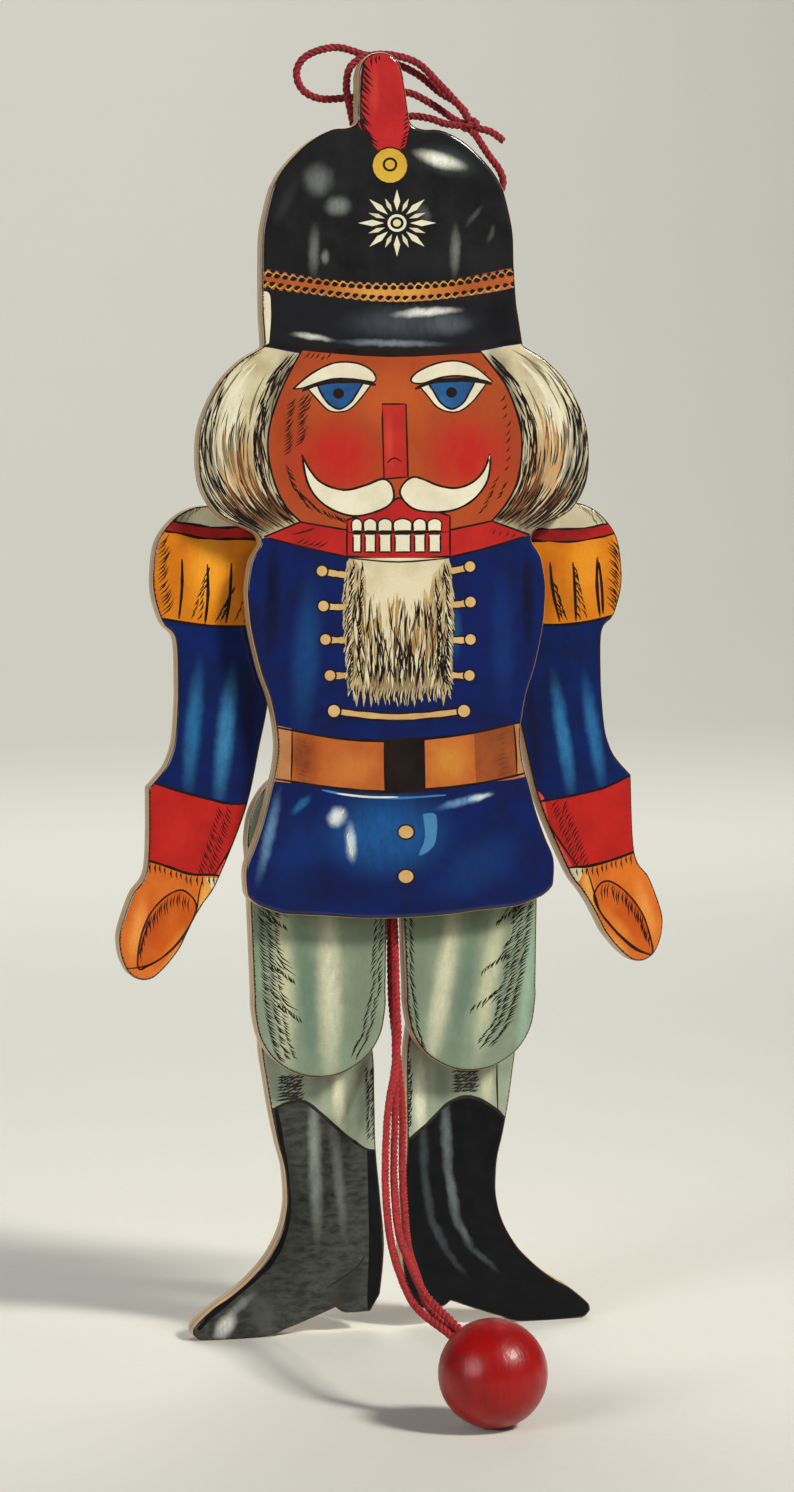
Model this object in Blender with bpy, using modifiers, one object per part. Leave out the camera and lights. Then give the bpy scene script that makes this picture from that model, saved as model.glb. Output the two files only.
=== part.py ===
"""Jumping jack of a nutcracker soldier: flat plywood plates on pegs, worked by a pull cord.

The frame: +Z up, +X to the figure's left as seen from the front (the viewer's right), -Y to the viewer.
The origin is on the back of the hat, in the middle of the wire staple that the figure hangs by.
"""

from math import cos, hypot, pi, radians, sin

import bmesh
import bpy
from mathutils import Vector

# Plates and their layers, front to back
PLATE = 0.0050  # thickness of the plywood
LACQUER_ROUND = 0.0006  # rounding of the lacquered edges
WASHER = 0.0008  # thickness of a spacer washer
RUNNING_GAP = 0.0002  # between a washer and the plates on both its sides
FIT_GAP = 0.0003  # between pieces that touch or are glued

# Body plate, heights from the staple
PLUME_FOOT_HALF = 0.0053
PLUME_TIP_HALF = 0.0046  # also the radius of the round tip
PLUME_LEAN = 0.0016  # the plume's foot stands this far to the viewer's left
PLUME_TIP_LEAN = 0.0021
PLUME_RISE = 0.0146  # above the top of the hat
PLUME_FILLET = 0.0012  # hollow between the plume's foot and the hat
HAT_RISE = 0.0290
HAT_CROWN_HALF = 0.0115  # half width of the dome's flattest part
HAT_CROWN_DROP = 0.0007
HAT_TOP_HALF = 0.0193  # half width where the dome turns into the sides
HAT_SIDE_HALF = 0.0260
HAT_DOME_DROP = 0.0061
HAT_SIDE_DROP = 0.0343
HAT_SWELL = 0.0012  # the crown's swell past a straight taper
HAT_SWELL_RISE = 0.0070
HAT_LEAN = 0.0008  # the hat stands this far to the viewer's left
BRIM_HALF = 0.0265
BRIM_DROP = 0.0143  # below the staple
HAIR_HALF = 0.0400
HAIR_WIDEST_DROP = 0.0203  # below the brim
HAIR_LENGTH = 0.0367
HAIR_FOOT_HALF = 0.0290
COLLAR_HALF = 0.0275
COLLAR_NOTCH = 0.0020
CHEST_HALF = 0.0299
CHEST_DROP = 0.0180  # below the collar
SHOULDER_ROUND = 0.0045
WAIST_HALF = 0.0250
WAIST_DROP = 0.0215  # below the chest
SKIRT_HALF = 0.0316
SKIRT_LENGTH = 0.0300
SKIRT_CORNER = 0.0030
SKIRT_SAG = 0.0062  # the hem's middle hangs this far below its corners
SKIRT_FLARE = 0.0010

# Arm plate, from its peg: outward and down
SHOULDER_INSET = 0.0069  # peg inboard of the chest's edge
SHOULDER_PEG_DROP = 0.0080  # below the collar
ARM_BOSS = 0.0110  # radius of the hidden round end
SHOULDER_TOP = 0.0154
EPAULETTE_REACH = 0.0253
EPAULETTE_FOOT = 0.0112
EPAULETTE_TUCK = 0.0012
SLEEVE_REACH = 0.0211
SLEEVE_WIDTH = 0.0185
CUFF_TOP = 0.0405
CUFF_REACH = 0.0270
CUFF_LENGTH = 0.0158
CUFF_FLARE = 0.0006
CUFF_TOP_TAPER = 0.0047  # inner end of the cuff's top, from the sleeve's inner side
CUFF_TOP_SLOPE = 0.0049
CUFF_FOOT_LEDGE = 0.0046  # the cuff stands past the hand on the inner side
CUFF_FOOT_SLOPE = 0.0032
HAND_REACH = 0.0333
HAND_LENGTH = 0.0226
HAND_WIDTH = 0.0155

# Thigh plate
THIGH_HALF = 0.0145
KNEE_HALF = 0.0135
LEG_GAP = 0.0024  # between the thighs
HIP_PEG_DROP = 0.0195  # below the waist
THIGH_PITCH = 0.0355  # hip peg to knee peg

# Boot plate, from the knee peg
SHIN_HALF = 0.0107
SHIN_LENGTH = 0.0485  # knee peg to ankle
SHIN_TAPER = 0.0044  # the leg draws in above the ankle
ANKLE_REACH = 0.0090
FOOT_HEIGHT = 0.0185  # ankle to sole
TOE_REACH = 0.0262  # outward from the knee peg
TOE_HEIGHT = 0.0045
TOE_ROUND = 0.0030
SOLE_FLAT = 0.0120
HEEL_REACH = 0.0131  # inward from the knee peg
HEEL_LIFT = 0.0040
HEEL_WIDTH = 0.0085
HEEL_ROUND = 0.0022
HEEL_SLANT = 0.0010
ARCH_LIFT = 0.0012
CALF_TAPER = 0.0006

# Pegs, washers and studs
PEG = 0.0040  # diameter
PEG_HEAD = 0.0080
PEG_HEAD_THICK = 0.0016
PEG_DEPTH = 0.0030  # how far a peg is glued into its plate
WASHER_WIDE = 0.0090
STUD = 0.0014
STUD_HEAD = 0.0042
STUD_HEAD_THICK = 0.0007
STUD_DEPTH = 0.0028
PULL = 0.0100  # travel of the cord that swings arms and thighs together
ARM_SWING = 90.0  # degrees, hanging to level
THIGH_SWING = 60.0

# Cords and ball
CORD = 0.0015
KNOT = 0.0021  # radius of a tied knot
TIE_SAG = 0.0030  # the middle of a link cord hangs below its studs
CENTRE_SPREAD = 0.0010  # half the spacing of the doubled centre cord
BALL = 0.0200
BALL_BORE_DEPTH = 0.0130
BALL_FORWARD = 0.0812  # ball centre in front of the plate's back
BALL_SIDE = -0.0019
BORE_LEAN = Vector((-0.45, 0.70, 0.55)).normalized()  # out of the ball's bore
STRAND_RING = 0.0011  # the three strands stand this far from the bore's axis

# Staple
STAPLE_WIRE = 0.0012
STAPLE_HALF = 0.0030
STAPLE_STAND = 0.0010  # straight part above the plate
STAPLE_DEPTH = 0.0030

# Fineness of the facets
OUTLINE_STEPS = 3
ROUND_STEPS = 16
BEND_STEPS = 8
BALL_STEPS = 24
POINT_SPACING = 3.0 * CORD
ROUTE_STEPS = 10

# Heights and places worked out from the sizes
LAYER = PLATE + WASHER + 2.0 * RUNNING_GAP
LIMB_FRONT = WASHER + 2.0 * RUNNING_GAP
LIMB_BACK = LIMB_FRONT + PLATE
SHIN_FRONT = LIMB_FRONT + LAYER
SHIN_BACK = SHIN_FRONT + PLATE

COLLAR_Z = -(BRIM_DROP + HAIR_LENGTH + COLLAR_NOTCH)
CHEST_Z = COLLAR_Z - CHEST_DROP
WAIST_Z = CHEST_Z - WAIST_DROP
SKIRT_Z = WAIST_Z - SKIRT_LENGTH
SHOULDER = Vector((CHEST_HALF - SHOULDER_INSET, 0.0, COLLAR_Z - SHOULDER_PEG_DROP))
HIP = Vector((THIGH_HALF + 0.5 * LEG_GAP, 0.0, WAIST_Z - HIP_PEG_DROP))
KNEE_FROM_HIP = Vector((0.0, 0.0, -THIGH_PITCH))
SOLE_DROP = SHIN_LENGTH + FOOT_HEIGHT
SOLE_Z = HIP.z - THIGH_PITCH - SOLE_DROP
BALL_CENTRE = Vector((BALL_SIDE, -BALL_FORWARD, SOLE_Z + 0.5 * BALL))
CORD_Y = LIMB_BACK + FIT_GAP + 0.5 * CORD
TIE_Y = LIMB_BACK + FIT_GAP + KNOT
ARM_STUD_RADIUS = 0.5 * PULL / sin(radians(0.5 * ARM_SWING))
THIGH_STUD_RADIUS = 0.5 * PULL / sin(radians(0.5 * THIGH_SWING))
LOOP_RADIUS = 0.5 * STUD + FIT_GAP + 0.5 * CORD
LOOP_TURN = 240.0  # degrees that a link cord's loop goes round its stud
STUD_NECK = CORD + 2.0 * FIT_GAP

SIDES = (("left", -1.0), ("right", 1.0))  # as the viewer sees them


def clear_scene():
    for obj in list(bpy.data.objects):
        bpy.data.objects.remove(obj, do_unlink=True)


def new_collection(name):
    collection = bpy.data.collections.new(name)
    bpy.context.scene.collection.children.link(collection)
    return collection


def new_material(name, colour, roughness, metallic=0.0):
    material = bpy.data.materials.new(name)
    material.use_nodes = True
    shader = material.node_tree.nodes["Principled BSDF"]
    shader.inputs["Base Color"].default_value = (*colour, 1.0)
    shader.inputs["Roughness"].default_value = roughness
    shader.inputs["Metallic"].default_value = metallic
    material.diffuse_color = (*colour, 1.0)
    return material


def add_object(name, data, material, parent=None, location=(0.0, 0.0, 0.0)):
    """A part of the toy, in the parts' collection, placed from its parent's origin."""
    if material is not None:
        data.materials.append(material)
    obj = bpy.data.objects.new(name, data)
    PARTS.objects.link(obj)
    obj.parent = parent
    obj.location = location
    return obj


def joint_empty(name, location, parent=None):
    """An empty on a joint's axis, which carries the pieces that move with it."""
    empty = bpy.data.objects.new(name, None)
    empty.empty_display_size = 2.0 * PLATE
    PARTS.objects.link(empty)
    empty.parent = parent
    empty.location = location
    return empty


def soft(x, z):
    return (x, z, "AUTO")


def sharp(x, z):
    return (x, z, "VECTOR")


def arc(x, z, radius, start, end, count):
    """Soft points round a circle, from one angle in degrees to another."""
    angles = [radians(start + (end - start) * i / (count - 1)) for i in range(count)]
    return [soft(x + radius * cos(a), z + radius * sin(a)) for a in angles]


def straight(start, end):
    """Two soft points near the ends of a straight run, which keep the curve from bulging there."""
    places = (0.12, 0.88)
    return [soft(start[0] + t * (end[0] - start[0]), start[1] + t * (end[1] - start[1])) for t in places]


def mirrored(points):
    return [(-x, z, kind) for x, z, kind in reversed(points)]


def leaning(points):
    return [(x - HAT_LEAN, z, kind) for x, z, kind in points]


def plate_mesh(name, outline):
    """A flat outline in X and Z, extruded to the plywood's thickness, as a welded mesh."""
    curve = bpy.data.curves.new(name, "CURVE")
    curve.dimensions = "2D"
    curve.fill_mode = "BOTH"
    curve.extrude = 0.5 * PLATE
    curve.resolution_u = OUTLINE_STEPS
    spline = curve.splines.new("BEZIER")
    spline.bezier_points.add(len(outline) - 1)
    for point, (x, z, kind) in zip(spline.bezier_points, outline):
        point.co = (x, z, 0.0)
        point.handle_left_type = kind
        point.handle_right_type = kind
    spline.use_cyclic_u = True
    return whole_caps(mesh_of(curve, name))


def whole_caps(mesh):
    """Makes each flat side of a plate one face, so that its rim can be rounded evenly."""
    shape = bmesh.new()
    shape.from_mesh(mesh)
    inner = [edge for edge in shape.edges if all(is_cap(face) for face in edge.link_faces)]
    bmesh.ops.dissolve_edges(shape, edges=inner, use_verts=False)
    shape.to_mesh(mesh)
    shape.free()
    return mesh


def is_cap(face):
    return abs(face.normal.z) > abs(face.normal.x) + abs(face.normal.y)


def mesh_of(curve, name):
    """The curve's evaluated mesh, with its loose caps welded on."""
    guide = bpy.data.objects.new(name + "_curve", curve)
    PARTS.objects.link(guide)
    evaluated = guide.evaluated_get(bpy.context.evaluated_depsgraph_get())
    mesh = bpy.data.meshes.new_from_object(evaluated)
    bpy.data.objects.remove(guide, do_unlink=True)
    welded = bmesh.new()
    welded.from_mesh(mesh)
    bmesh.ops.remove_doubles(welded, verts=welded.verts, dist=1e-6)
    bmesh.ops.recalc_face_normals(welded, faces=welded.faces)
    welded.to_mesh(mesh)
    welded.free()
    mesh.name = name
    return mesh


def add_plate(name, outline, material, front, parent=None, location=(0.0, 0.0, 0.0)):
    """A plywood plate with lacquered, rounded edges; front is the Y of its front face."""
    plate = add_object(name, plate_mesh(name, outline), material, parent, location)
    plate.location.y += front + 0.5 * PLATE
    plate.rotation_euler = (0.5 * pi, 0.0, 0.0)
    rounding = plate.modifiers.new("rounding", "BEVEL")
    rounding.width = LACQUER_ROUND
    rounding.segments = 1
    rounding.use_clamp_overlap = False
    rounding.limit_method = "ANGLE"
    rounding.angle_limit = radians(60.0)
    return plate


def drill(plate, name, diameter, x, z, start, end, parent=None):
    """Cuts a round hole along Y, from start to end, through or into a plate."""
    shape = bmesh.new()
    bmesh.ops.create_cone(
        shape,
        cap_ends=True,
        segments=ROUND_STEPS,
        radius1=0.5 * diameter,
        radius2=0.5 * diameter,
        depth=end - start,
    )
    mesh = bpy.data.meshes.new(name)
    shape.to_mesh(mesh)
    shape.free()
    cutter = bpy.data.objects.new(name, mesh)
    CUTTERS.objects.link(cutter)
    cutter.parent = parent
    cutter.location = (x, 0.5 * (start + end), z)
    cutter.rotation_euler = (0.5 * pi, 0.0, 0.0)
    cut(plate, cutter)


def cut(obj, cutter):
    cutter.hide_render = True
    cutter.display_type = "WIRE"
    boolean = obj.modifiers.new(cutter.name, "BOOLEAN")
    boolean.operation = "DIFFERENCE"
    boolean.object = cutter


def add_turned(name, profile, closed, material, parent, location):
    """A turned piece along Y. The profile holds (radius, Y) and runs from the front to the back."""
    mesh = bpy.data.meshes.new(name)
    points = [(radius, 0.0, -y) for radius, y in profile]
    edges = [(i, i + 1) for i in range(len(points) - 1)]
    if closed:
        edges.append((len(points) - 1, 0))
    mesh.from_pydata(points, edges, [])
    obj = add_object(name, mesh, material, parent, location)
    obj.rotation_euler = (0.5 * pi, 0.0, 0.0)
    turn = obj.modifiers.new("turn", "SCREW")
    turn.steps = ROUND_STEPS
    turn.render_steps = ROUND_STEPS
    turn.use_merge_vertices = True
    turn.merge_threshold = 1e-6
    turn.use_smooth_shade = True
    return obj


def add_peg(name, front, back, parent, location):
    """A headed peg: glued into the plate in front, with its head behind the plate that turns on it."""
    head = back + RUNNING_GAP
    tip = front - PEG_DEPTH
    profile = [
        (0.0, tip),
        (0.5 * PEG, tip),
        (0.5 * PEG, head),
        (0.5 * PEG_HEAD, head),
        (0.5 * PEG_HEAD, head + PEG_HEAD_THICK),
        (0.0, head + PEG_HEAD_THICK),
    ]
    return add_turned(name, profile, False, WOOD, parent, location)


def add_washer(name, front, parent, location):
    inner = 0.5 * PEG + FIT_GAP
    outer = 0.5 * WASHER_WIDE
    start = front + RUNNING_GAP
    end = start + WASHER
    profile = [(inner, start), (outer, start), (outer, end), (inner, end)]
    return add_turned(name, profile, True, FIBRE, parent, location)


def add_stud(name, parent, location):
    """A round-headed tack in a plate's back, with a neck as long as a cord's loop needs."""
    tip = LIMB_BACK - STUD_DEPTH
    head = LIMB_BACK + STUD_NECK
    profile = [
        (0.0, tip),
        (0.5 * STUD, tip),
        (0.5 * STUD, head),
        (0.5 * STUD_HEAD, head),
        (0.5 * STUD_HEAD, head + STUD_HEAD_THICK),
        (0.0, head + STUD_HEAD_THICK),
    ]
    return add_turned(name, profile, False, BRASS, parent, location)


def smooth_route(points, spacing):
    """Evenly spaced points on a smooth curve through the given ones (a Catmull-Rom curve)."""
    knots = [Vector(p) for p in points]
    knots = [2.0 * knots[0] - knots[1]] + knots + [2.0 * knots[-1] - knots[-2]]
    dense = []
    for a, b, c, d in zip(knots, knots[1:], knots[2:], knots[3:]):
        for i in range(ROUTE_STEPS):
            t = i / ROUTE_STEPS
            slope_in = 0.5 * (c - a)
            slope_out = 0.5 * (d - b)
            dense.append(
                (2 * t**3 - 3 * t**2 + 1) * b
                + (t**3 - 2 * t**2 + t) * slope_in
                + (3 * t**2 - 2 * t**3) * c
                + (t**3 - t**2) * slope_out
            )
    dense.append(knots[-2])
    return even_points(dense, spacing)


def even_points(dense, spacing):
    lengths = [0.0]
    for a, b in zip(dense, dense[1:]):
        lengths.append(lengths[-1] + (b - a).length)
    count = max(2, round(lengths[-1] / spacing))
    even = []
    place = 0
    for i in range(count + 1):
        along = lengths[-1] * i / count
        while place < len(dense) - 2 and lengths[place + 1] < along:
            place += 1
        share = (along - lengths[place]) / (lengths[place + 1] - lengths[place])
        even.append(dense[place].lerp(dense[place + 1], share))
    return even


def add_tube(name, points, diameter, material):
    curve = bpy.data.curves.new(name, "CURVE")
    curve.dimensions = "3D"
    curve.bevel_depth = 0.5 * diameter
    curve.bevel_resolution = 2
    curve.use_fill_caps = True
    spline = curve.splines.new("POLY")
    spline.points.add(len(points) - 1)
    for spot, point in zip(spline.points, points):
        spot.co = (*point, 1.0)
    return add_object(name, curve, material)


def add_knot(name, centre, parent=None):
    shape = bmesh.new()
    bmesh.ops.create_uvsphere(shape, u_segments=BALL_STEPS // 2, v_segments=BALL_STEPS // 3, radius=KNOT)
    mesh = bpy.data.meshes.new(name)
    shape.to_mesh(mesh)
    shape.free()
    mesh.shade_smooth()
    return add_object(name, mesh, RED_CORD, parent, centre)


def body_outline():
    """Hem to plume on the viewer's right, then back down the mirrored side."""
    hat_top = HAT_RISE - HAT_DOME_DROP
    hat_side = HAT_RISE - HAT_SIDE_DROP
    hair_z = -(BRIM_DROP + HAIR_WIDEST_DROP)
    hair_foot = -(BRIM_DROP + HAIR_LENGTH)
    half = [
        soft(0.5 * SKIRT_HALF, SKIRT_Z - 0.85 * SKIRT_SAG),
        soft(SKIRT_HALF - SKIRT_CORNER, SKIRT_Z - SKIRT_CORNER),
        soft(SKIRT_HALF, SKIRT_Z),
        soft(0.5 * (SKIRT_HALF + WAIST_HALF), 0.5 * (SKIRT_Z + WAIST_Z) - SKIRT_FLARE),
        soft(WAIST_HALF, WAIST_Z),
        soft(CHEST_HALF, CHEST_Z),
        soft(CHEST_HALF, COLLAR_Z - SHOULDER_ROUND),
        sharp(COLLAR_HALF, COLLAR_Z),
        sharp(HAIR_FOOT_HALF, hair_foot),
        soft(0.25 * HAIR_FOOT_HALF + 0.75 * HAIR_HALF, 0.3 * hair_z + 0.7 * hair_foot),
        soft(HAIR_HALF, hair_z),
        soft(0.21 * BRIM_HALF + 0.79 * HAIR_HALF, -BRIM_DROP - 0.5 * HAIR_WIDEST_DROP),
        soft(0.6 * BRIM_HALF + 0.4 * HAIR_HALF, -BRIM_DROP - 0.17 * HAIR_WIDEST_DROP),
        sharp(BRIM_HALF, -BRIM_DROP),
    ]
    hat = [
        soft(HAT_SIDE_HALF, hat_side),
        soft(
            0.5 * (HAT_SIDE_HALF + HAT_TOP_HALF) + HAT_SWELL,
            0.5 * (hat_side + hat_top) + HAT_SWELL_RISE,
        ),
        soft(HAT_TOP_HALF, hat_top),
        soft(HAT_CROWN_HALF, HAT_RISE - HAT_CROWN_DROP),
    ]
    hem = soft(0.0, SKIRT_Z - SKIRT_SAG)
    up = half + leaning(hat)
    down = leaning(mirrored(hat)) + mirrored(half)
    return [hem] + up + plume_outline() + down


def plume_outline():
    """From the hat on the viewer's right round the plume's tip to the hat on the left."""
    tip_z = HAT_RISE + PLUME_RISE - PLUME_TIP_HALF
    tip = arc(-PLUME_TIP_LEAN, tip_z, PLUME_TIP_HALF, 0.0, 180.0, 5)
    hat_right = soft(PLUME_FOOT_HALF + PLUME_FILLET - PLUME_LEAN, HAT_RISE)
    hat_left = soft(-PLUME_FOOT_HALF - PLUME_FILLET - PLUME_LEAN, HAT_RISE)
    foot_right = soft(PLUME_FOOT_HALF - PLUME_LEAN, HAT_RISE + PLUME_FILLET)
    foot_left = soft(-PLUME_FOOT_HALF - PLUME_LEAN, HAT_RISE + PLUME_FILLET)
    rise = [foot_right, *straight(foot_right, tip[0])]
    fall = [*straight(tip[-1], foot_left), foot_left]
    return [hat_right, *rise, *tip, *fall, hat_left]


def arm_outline():
    """From the shoulder's top down the outer side to the hand, and up the inner side to the boss."""
    cuff_foot = CUFF_TOP + CUFF_LENGTH
    hand_tip = cuff_foot + HAND_LENGTH
    inner = SLEEVE_REACH - SLEEVE_WIDTH
    return [
        soft(0.6 * EPAULETTE_REACH, SHOULDER_TOP),
        soft(0.9 * EPAULETTE_REACH, 0.72 * SHOULDER_TOP),
        soft(EPAULETTE_REACH, 0.25 * SHOULDER_TOP),
        soft(EPAULETTE_REACH - EPAULETTE_TUCK, -0.6 * EPAULETTE_FOOT),
        sharp(SLEEVE_REACH, -EPAULETTE_FOOT),
        soft(SLEEVE_REACH, -0.5 * (EPAULETTE_FOOT + CUFF_TOP)),
        soft(SLEEVE_REACH + 0.3 * (CUFF_REACH - SLEEVE_REACH), -0.87 * CUFF_TOP),
        sharp(CUFF_REACH, -CUFF_TOP),
        sharp(CUFF_REACH + CUFF_FLARE, -cuff_foot),
        soft(0.25 * CUFF_REACH + 0.75 * HAND_REACH, -cuff_foot - 0.35 * HAND_LENGTH),
        soft(HAND_REACH, -cuff_foot - 0.75 * HAND_LENGTH),
        soft(HAND_REACH - 0.27 * HAND_WIDTH, -hand_tip),
        soft(HAND_REACH - 0.65 * HAND_WIDTH, -cuff_foot - 0.85 * HAND_LENGTH),
        soft(HAND_REACH - HAND_WIDTH, -cuff_foot - 0.45 * HAND_LENGTH),
        sharp(HAND_REACH - HAND_WIDTH - CUFF_FOOT_LEDGE, -cuff_foot - CUFF_FOOT_SLOPE),
        sharp(inner + CUFF_TOP_TAPER, -CUFF_TOP - CUFF_TOP_SLOPE),
        soft(inner, -0.62 * CUFF_TOP),
        *arc(0.0, 0.0, ARM_BOSS, 270.0, 90.0, 5),
    ]


def thigh_outline():
    """A tapered stadium round the hip and knee pegs."""
    hip_end = arc(0.0, 0.0, THIGH_HALF, 180.0, 0.0, 7)
    knee_end = arc(0.0, -THIGH_PITCH, KNEE_HALF, 0.0, -180.0, 7)
    outer = straight(hip_end[-1], knee_end[0])
    inner = straight(knee_end[-1], hip_end[0])
    return hip_end + outer + knee_end + inner


def boot_outline():
    """Round the hidden top, down the outer side to the toe, and back by sole, arch and heel."""
    sole = -SOLE_DROP
    heel = sole + HEEL_LIFT
    heel_front = HEEL_WIDTH - HEEL_REACH
    flat_end = TOE_REACH - TOE_ROUND - SOLE_FLAT
    return [
        *arc(0.0, 0.0, SHIN_HALF, 180.0, 0.0, 5),
        soft(0.85 * SHIN_HALF, -0.45 * SHIN_LENGTH),
        soft(SHIN_HALF - SHIN_TAPER, -0.80 * SHIN_LENGTH),
        soft(ANKLE_REACH, -SHIN_LENGTH),
        soft(0.60 * TOE_REACH, sole + 0.58 * FOOT_HEIGHT),
        soft(0.93 * TOE_REACH, sole + TOE_HEIGHT),
        soft(TOE_REACH, sole + 0.35 * TOE_HEIGHT),
        sharp(TOE_REACH - TOE_ROUND, sole),
        sharp(flat_end, sole),
        soft(0.5 * (flat_end + heel_front) + HEEL_SLANT, sole + 0.55 * HEEL_LIFT),
        sharp(heel_front + HEEL_SLANT, heel + ARCH_LIFT),
        sharp(heel_front - HEEL_SLANT, heel),
        sharp(HEEL_ROUND - HEEL_REACH, heel),
        soft(-HEEL_REACH, heel + 2.0 * HEEL_ROUND),
        soft(CALF_TAPER - HEEL_REACH, -0.60 * SHIN_LENGTH),
    ]


def flipped(outline, side):
    return outline if side > 0.0 else mirrored(outline)


def stud_place(radius, swing, side):
    """A stud inboard of its peg, half the swing above level, so that it ends as far below."""
    half = radians(0.5 * swing)
    return Vector((-side * radius * cos(half), 0.0, radius * sin(half)))


def add_body():
    body = add_plate("body_plate", body_outline(), COAT, -PLATE)
    for word, side in SIDES:
        for joint, place in (("shoulder", SHOULDER), ("hip", HIP)):
            bore = PEG + 2.0 * FIT_GAP
            start = -PEG_DEPTH - FIT_GAP
            drill(body, f"{word}_{joint}_bore", bore, side * place.x, place.z, start, 0.5 * PLATE)
        staple_bore = STAPLE_WIRE + 2.0 * FIT_GAP
        drill(
            body,
            f"{word}_staple_bore",
            staple_bore,
            side * STAPLE_HALF,
            0.0,
            -STAPLE_DEPTH - FIT_GAP,
            0.5 * PLATE,
        )
    return body


def add_staple():
    """Wire bent round a half circle, with both legs in the back of the hat."""
    bend = [pi - pi * i / BEND_STEPS for i in range(BEND_STEPS + 1)]
    points = [Vector((-STAPLE_HALF, -STAPLE_DEPTH, 0.0))]
    for a in bend:
        points.append(Vector((STAPLE_HALF * cos(a), STAPLE_STAND + STAPLE_HALF * sin(a), 0.0)))
    points.append(Vector((STAPLE_HALF, -STAPLE_DEPTH, 0.0)))
    add_tube("hanger_staple", points, STAPLE_WIRE, STEEL)


def add_arm(word, side):
    shoulder = Vector((side * SHOULDER.x, 0.0, SHOULDER.z))
    add_peg(f"{word}_shoulder_peg", 0.0, LIMB_BACK, None, shoulder)
    add_washer(f"{word}_shoulder_washer", 0.0, None, shoulder)
    joint = joint_empty(f"{word}_shoulder_joint", shoulder)
    arm = add_plate(f"{word}_arm", flipped(arm_outline(), side), SLEEVE, LIMB_FRONT, joint)
    bore = PEG + 2.0 * FIT_GAP
    drill(arm, f"{word}_arm_bore", bore, 0.0, 0.0, 0.0, LIMB_BACK + PLATE, joint)
    stud = stud_place(ARM_STUD_RADIUS, ARM_SWING, side)
    stud_bore = STUD + 2.0 * FIT_GAP
    depth = LIMB_BACK - STUD_DEPTH - FIT_GAP
    drill(arm, f"{word}_arm_stud_bore", stud_bore, stud.x, stud.z, depth, LIMB_BACK + PLATE, joint)
    add_stud(f"{word}_arm_stud", joint, stud)


def add_leg(word, side):
    hip = Vector((side * HIP.x, 0.0, HIP.z))
    add_peg(f"{word}_hip_peg", 0.0, LIMB_BACK, None, hip)
    add_washer(f"{word}_hip_washer", 0.0, None, hip)
    joint = joint_empty(f"{word}_hip_joint", hip)
    thigh = add_plate(f"{word}_thigh", flipped(thigh_outline(), side), TROUSER, LIMB_FRONT, joint)
    bore = PEG + 2.0 * FIT_GAP
    drill(thigh, f"{word}_thigh_bore", bore, 0.0, 0.0, 0.0, LIMB_BACK + PLATE, joint)
    stud = stud_place(THIGH_STUD_RADIUS, THIGH_SWING, side)
    stud_bore = STUD + 2.0 * FIT_GAP
    depth = LIMB_BACK - STUD_DEPTH - FIT_GAP
    drill(thigh, f"{word}_thigh_stud_bore", stud_bore, stud.x, stud.z, depth, LIMB_BACK + PLATE, joint)
    add_stud(f"{word}_thigh_stud", joint, stud)
    peg_start = LIMB_BACK - PEG_DEPTH - FIT_GAP
    drill(
        thigh,
        f"{word}_knee_bore",
        bore,
        KNEE_FROM_HIP.x,
        KNEE_FROM_HIP.z,
        peg_start,
        LIMB_BACK + PLATE,
        joint,
    )
    add_peg(f"{word}_knee_peg", LIMB_BACK, SHIN_BACK, joint, KNEE_FROM_HIP)
    add_washer(f"{word}_knee_washer", LIMB_BACK, joint, KNEE_FROM_HIP)
    knee = joint_empty(f"{word}_knee_joint", KNEE_FROM_HIP, joint)
    boot = add_plate(f"{word}_boot", flipped(boot_outline(), side), BOOT, SHIN_FRONT, knee)
    drill(boot, f"{word}_boot_bore", bore, 0.0, 0.0, 0.5 * SHIN_FRONT, SHIN_BACK + PLATE, knee)


def link_route(tie, stud, side):
    """From the tie knot to a stud, ending in a loop most of the way round the stud's neck."""
    away = stud - tie
    reach = hypot(away.x, away.z)
    along = Vector((away.x / reach, 0.0, away.z / reach))
    across = Vector((-side * along.z, 0.0, side * along.x))
    start = tie + along * (KNOT + FIT_GAP)
    middle = 0.5 * (start + stud) + 0.5 * LOOP_RADIUS * across
    middle.y = stud.y
    points = [start, middle]
    for i in range(BEND_STEPS + 1):
        a = radians(90.0 - LOOP_TURN * i / BEND_STEPS)
        points.append(stud + LOOP_RADIUS * (cos(a) * along + sin(a) * across))
    return points


def add_links():
    """The cords behind the plates: arm link, leg link and the doubled cord between their ties."""
    ties = {}
    for limb, peg, radius, swing in (
        ("arm", SHOULDER, ARM_STUD_RADIUS, ARM_SWING),
        ("leg", HIP, THIGH_STUD_RADIUS, THIGH_SWING),
    ):
        right_stud = peg + stud_place(radius, swing, 1.0)
        tie = Vector((0.0, TIE_Y, right_stud.z - TIE_SAG))
        ties[limb] = tie
        add_knot(f"{limb}_tie_knot", tie)
        for word, side in SIDES:
            stud = Vector((side * right_stud.x, CORD_Y, right_stud.z))
            points = even_points(link_route(tie, stud, side), 0.7 * CORD)
            add_tube(f"{limb}_link_{word}", points, CORD, RED_CORD)
    for word, side in SIDES:
        shift = Vector((side * CENTRE_SPREAD, 0.0, 0.0))
        rise = (KNOT**2 - CENTRE_SPREAD**2) ** 0.5 + 2.0 * FIT_GAP
        top = ties["arm"] + shift - Vector((0.0, 0.0, rise))
        foot = ties["leg"] + shift + Vector((0.0, 0.0, rise))
        add_tube(f"centre_cord_{word}", even_points([top, foot], POINT_SPACING), CORD, RED_CORD)
    return ties["leg"]


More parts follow.
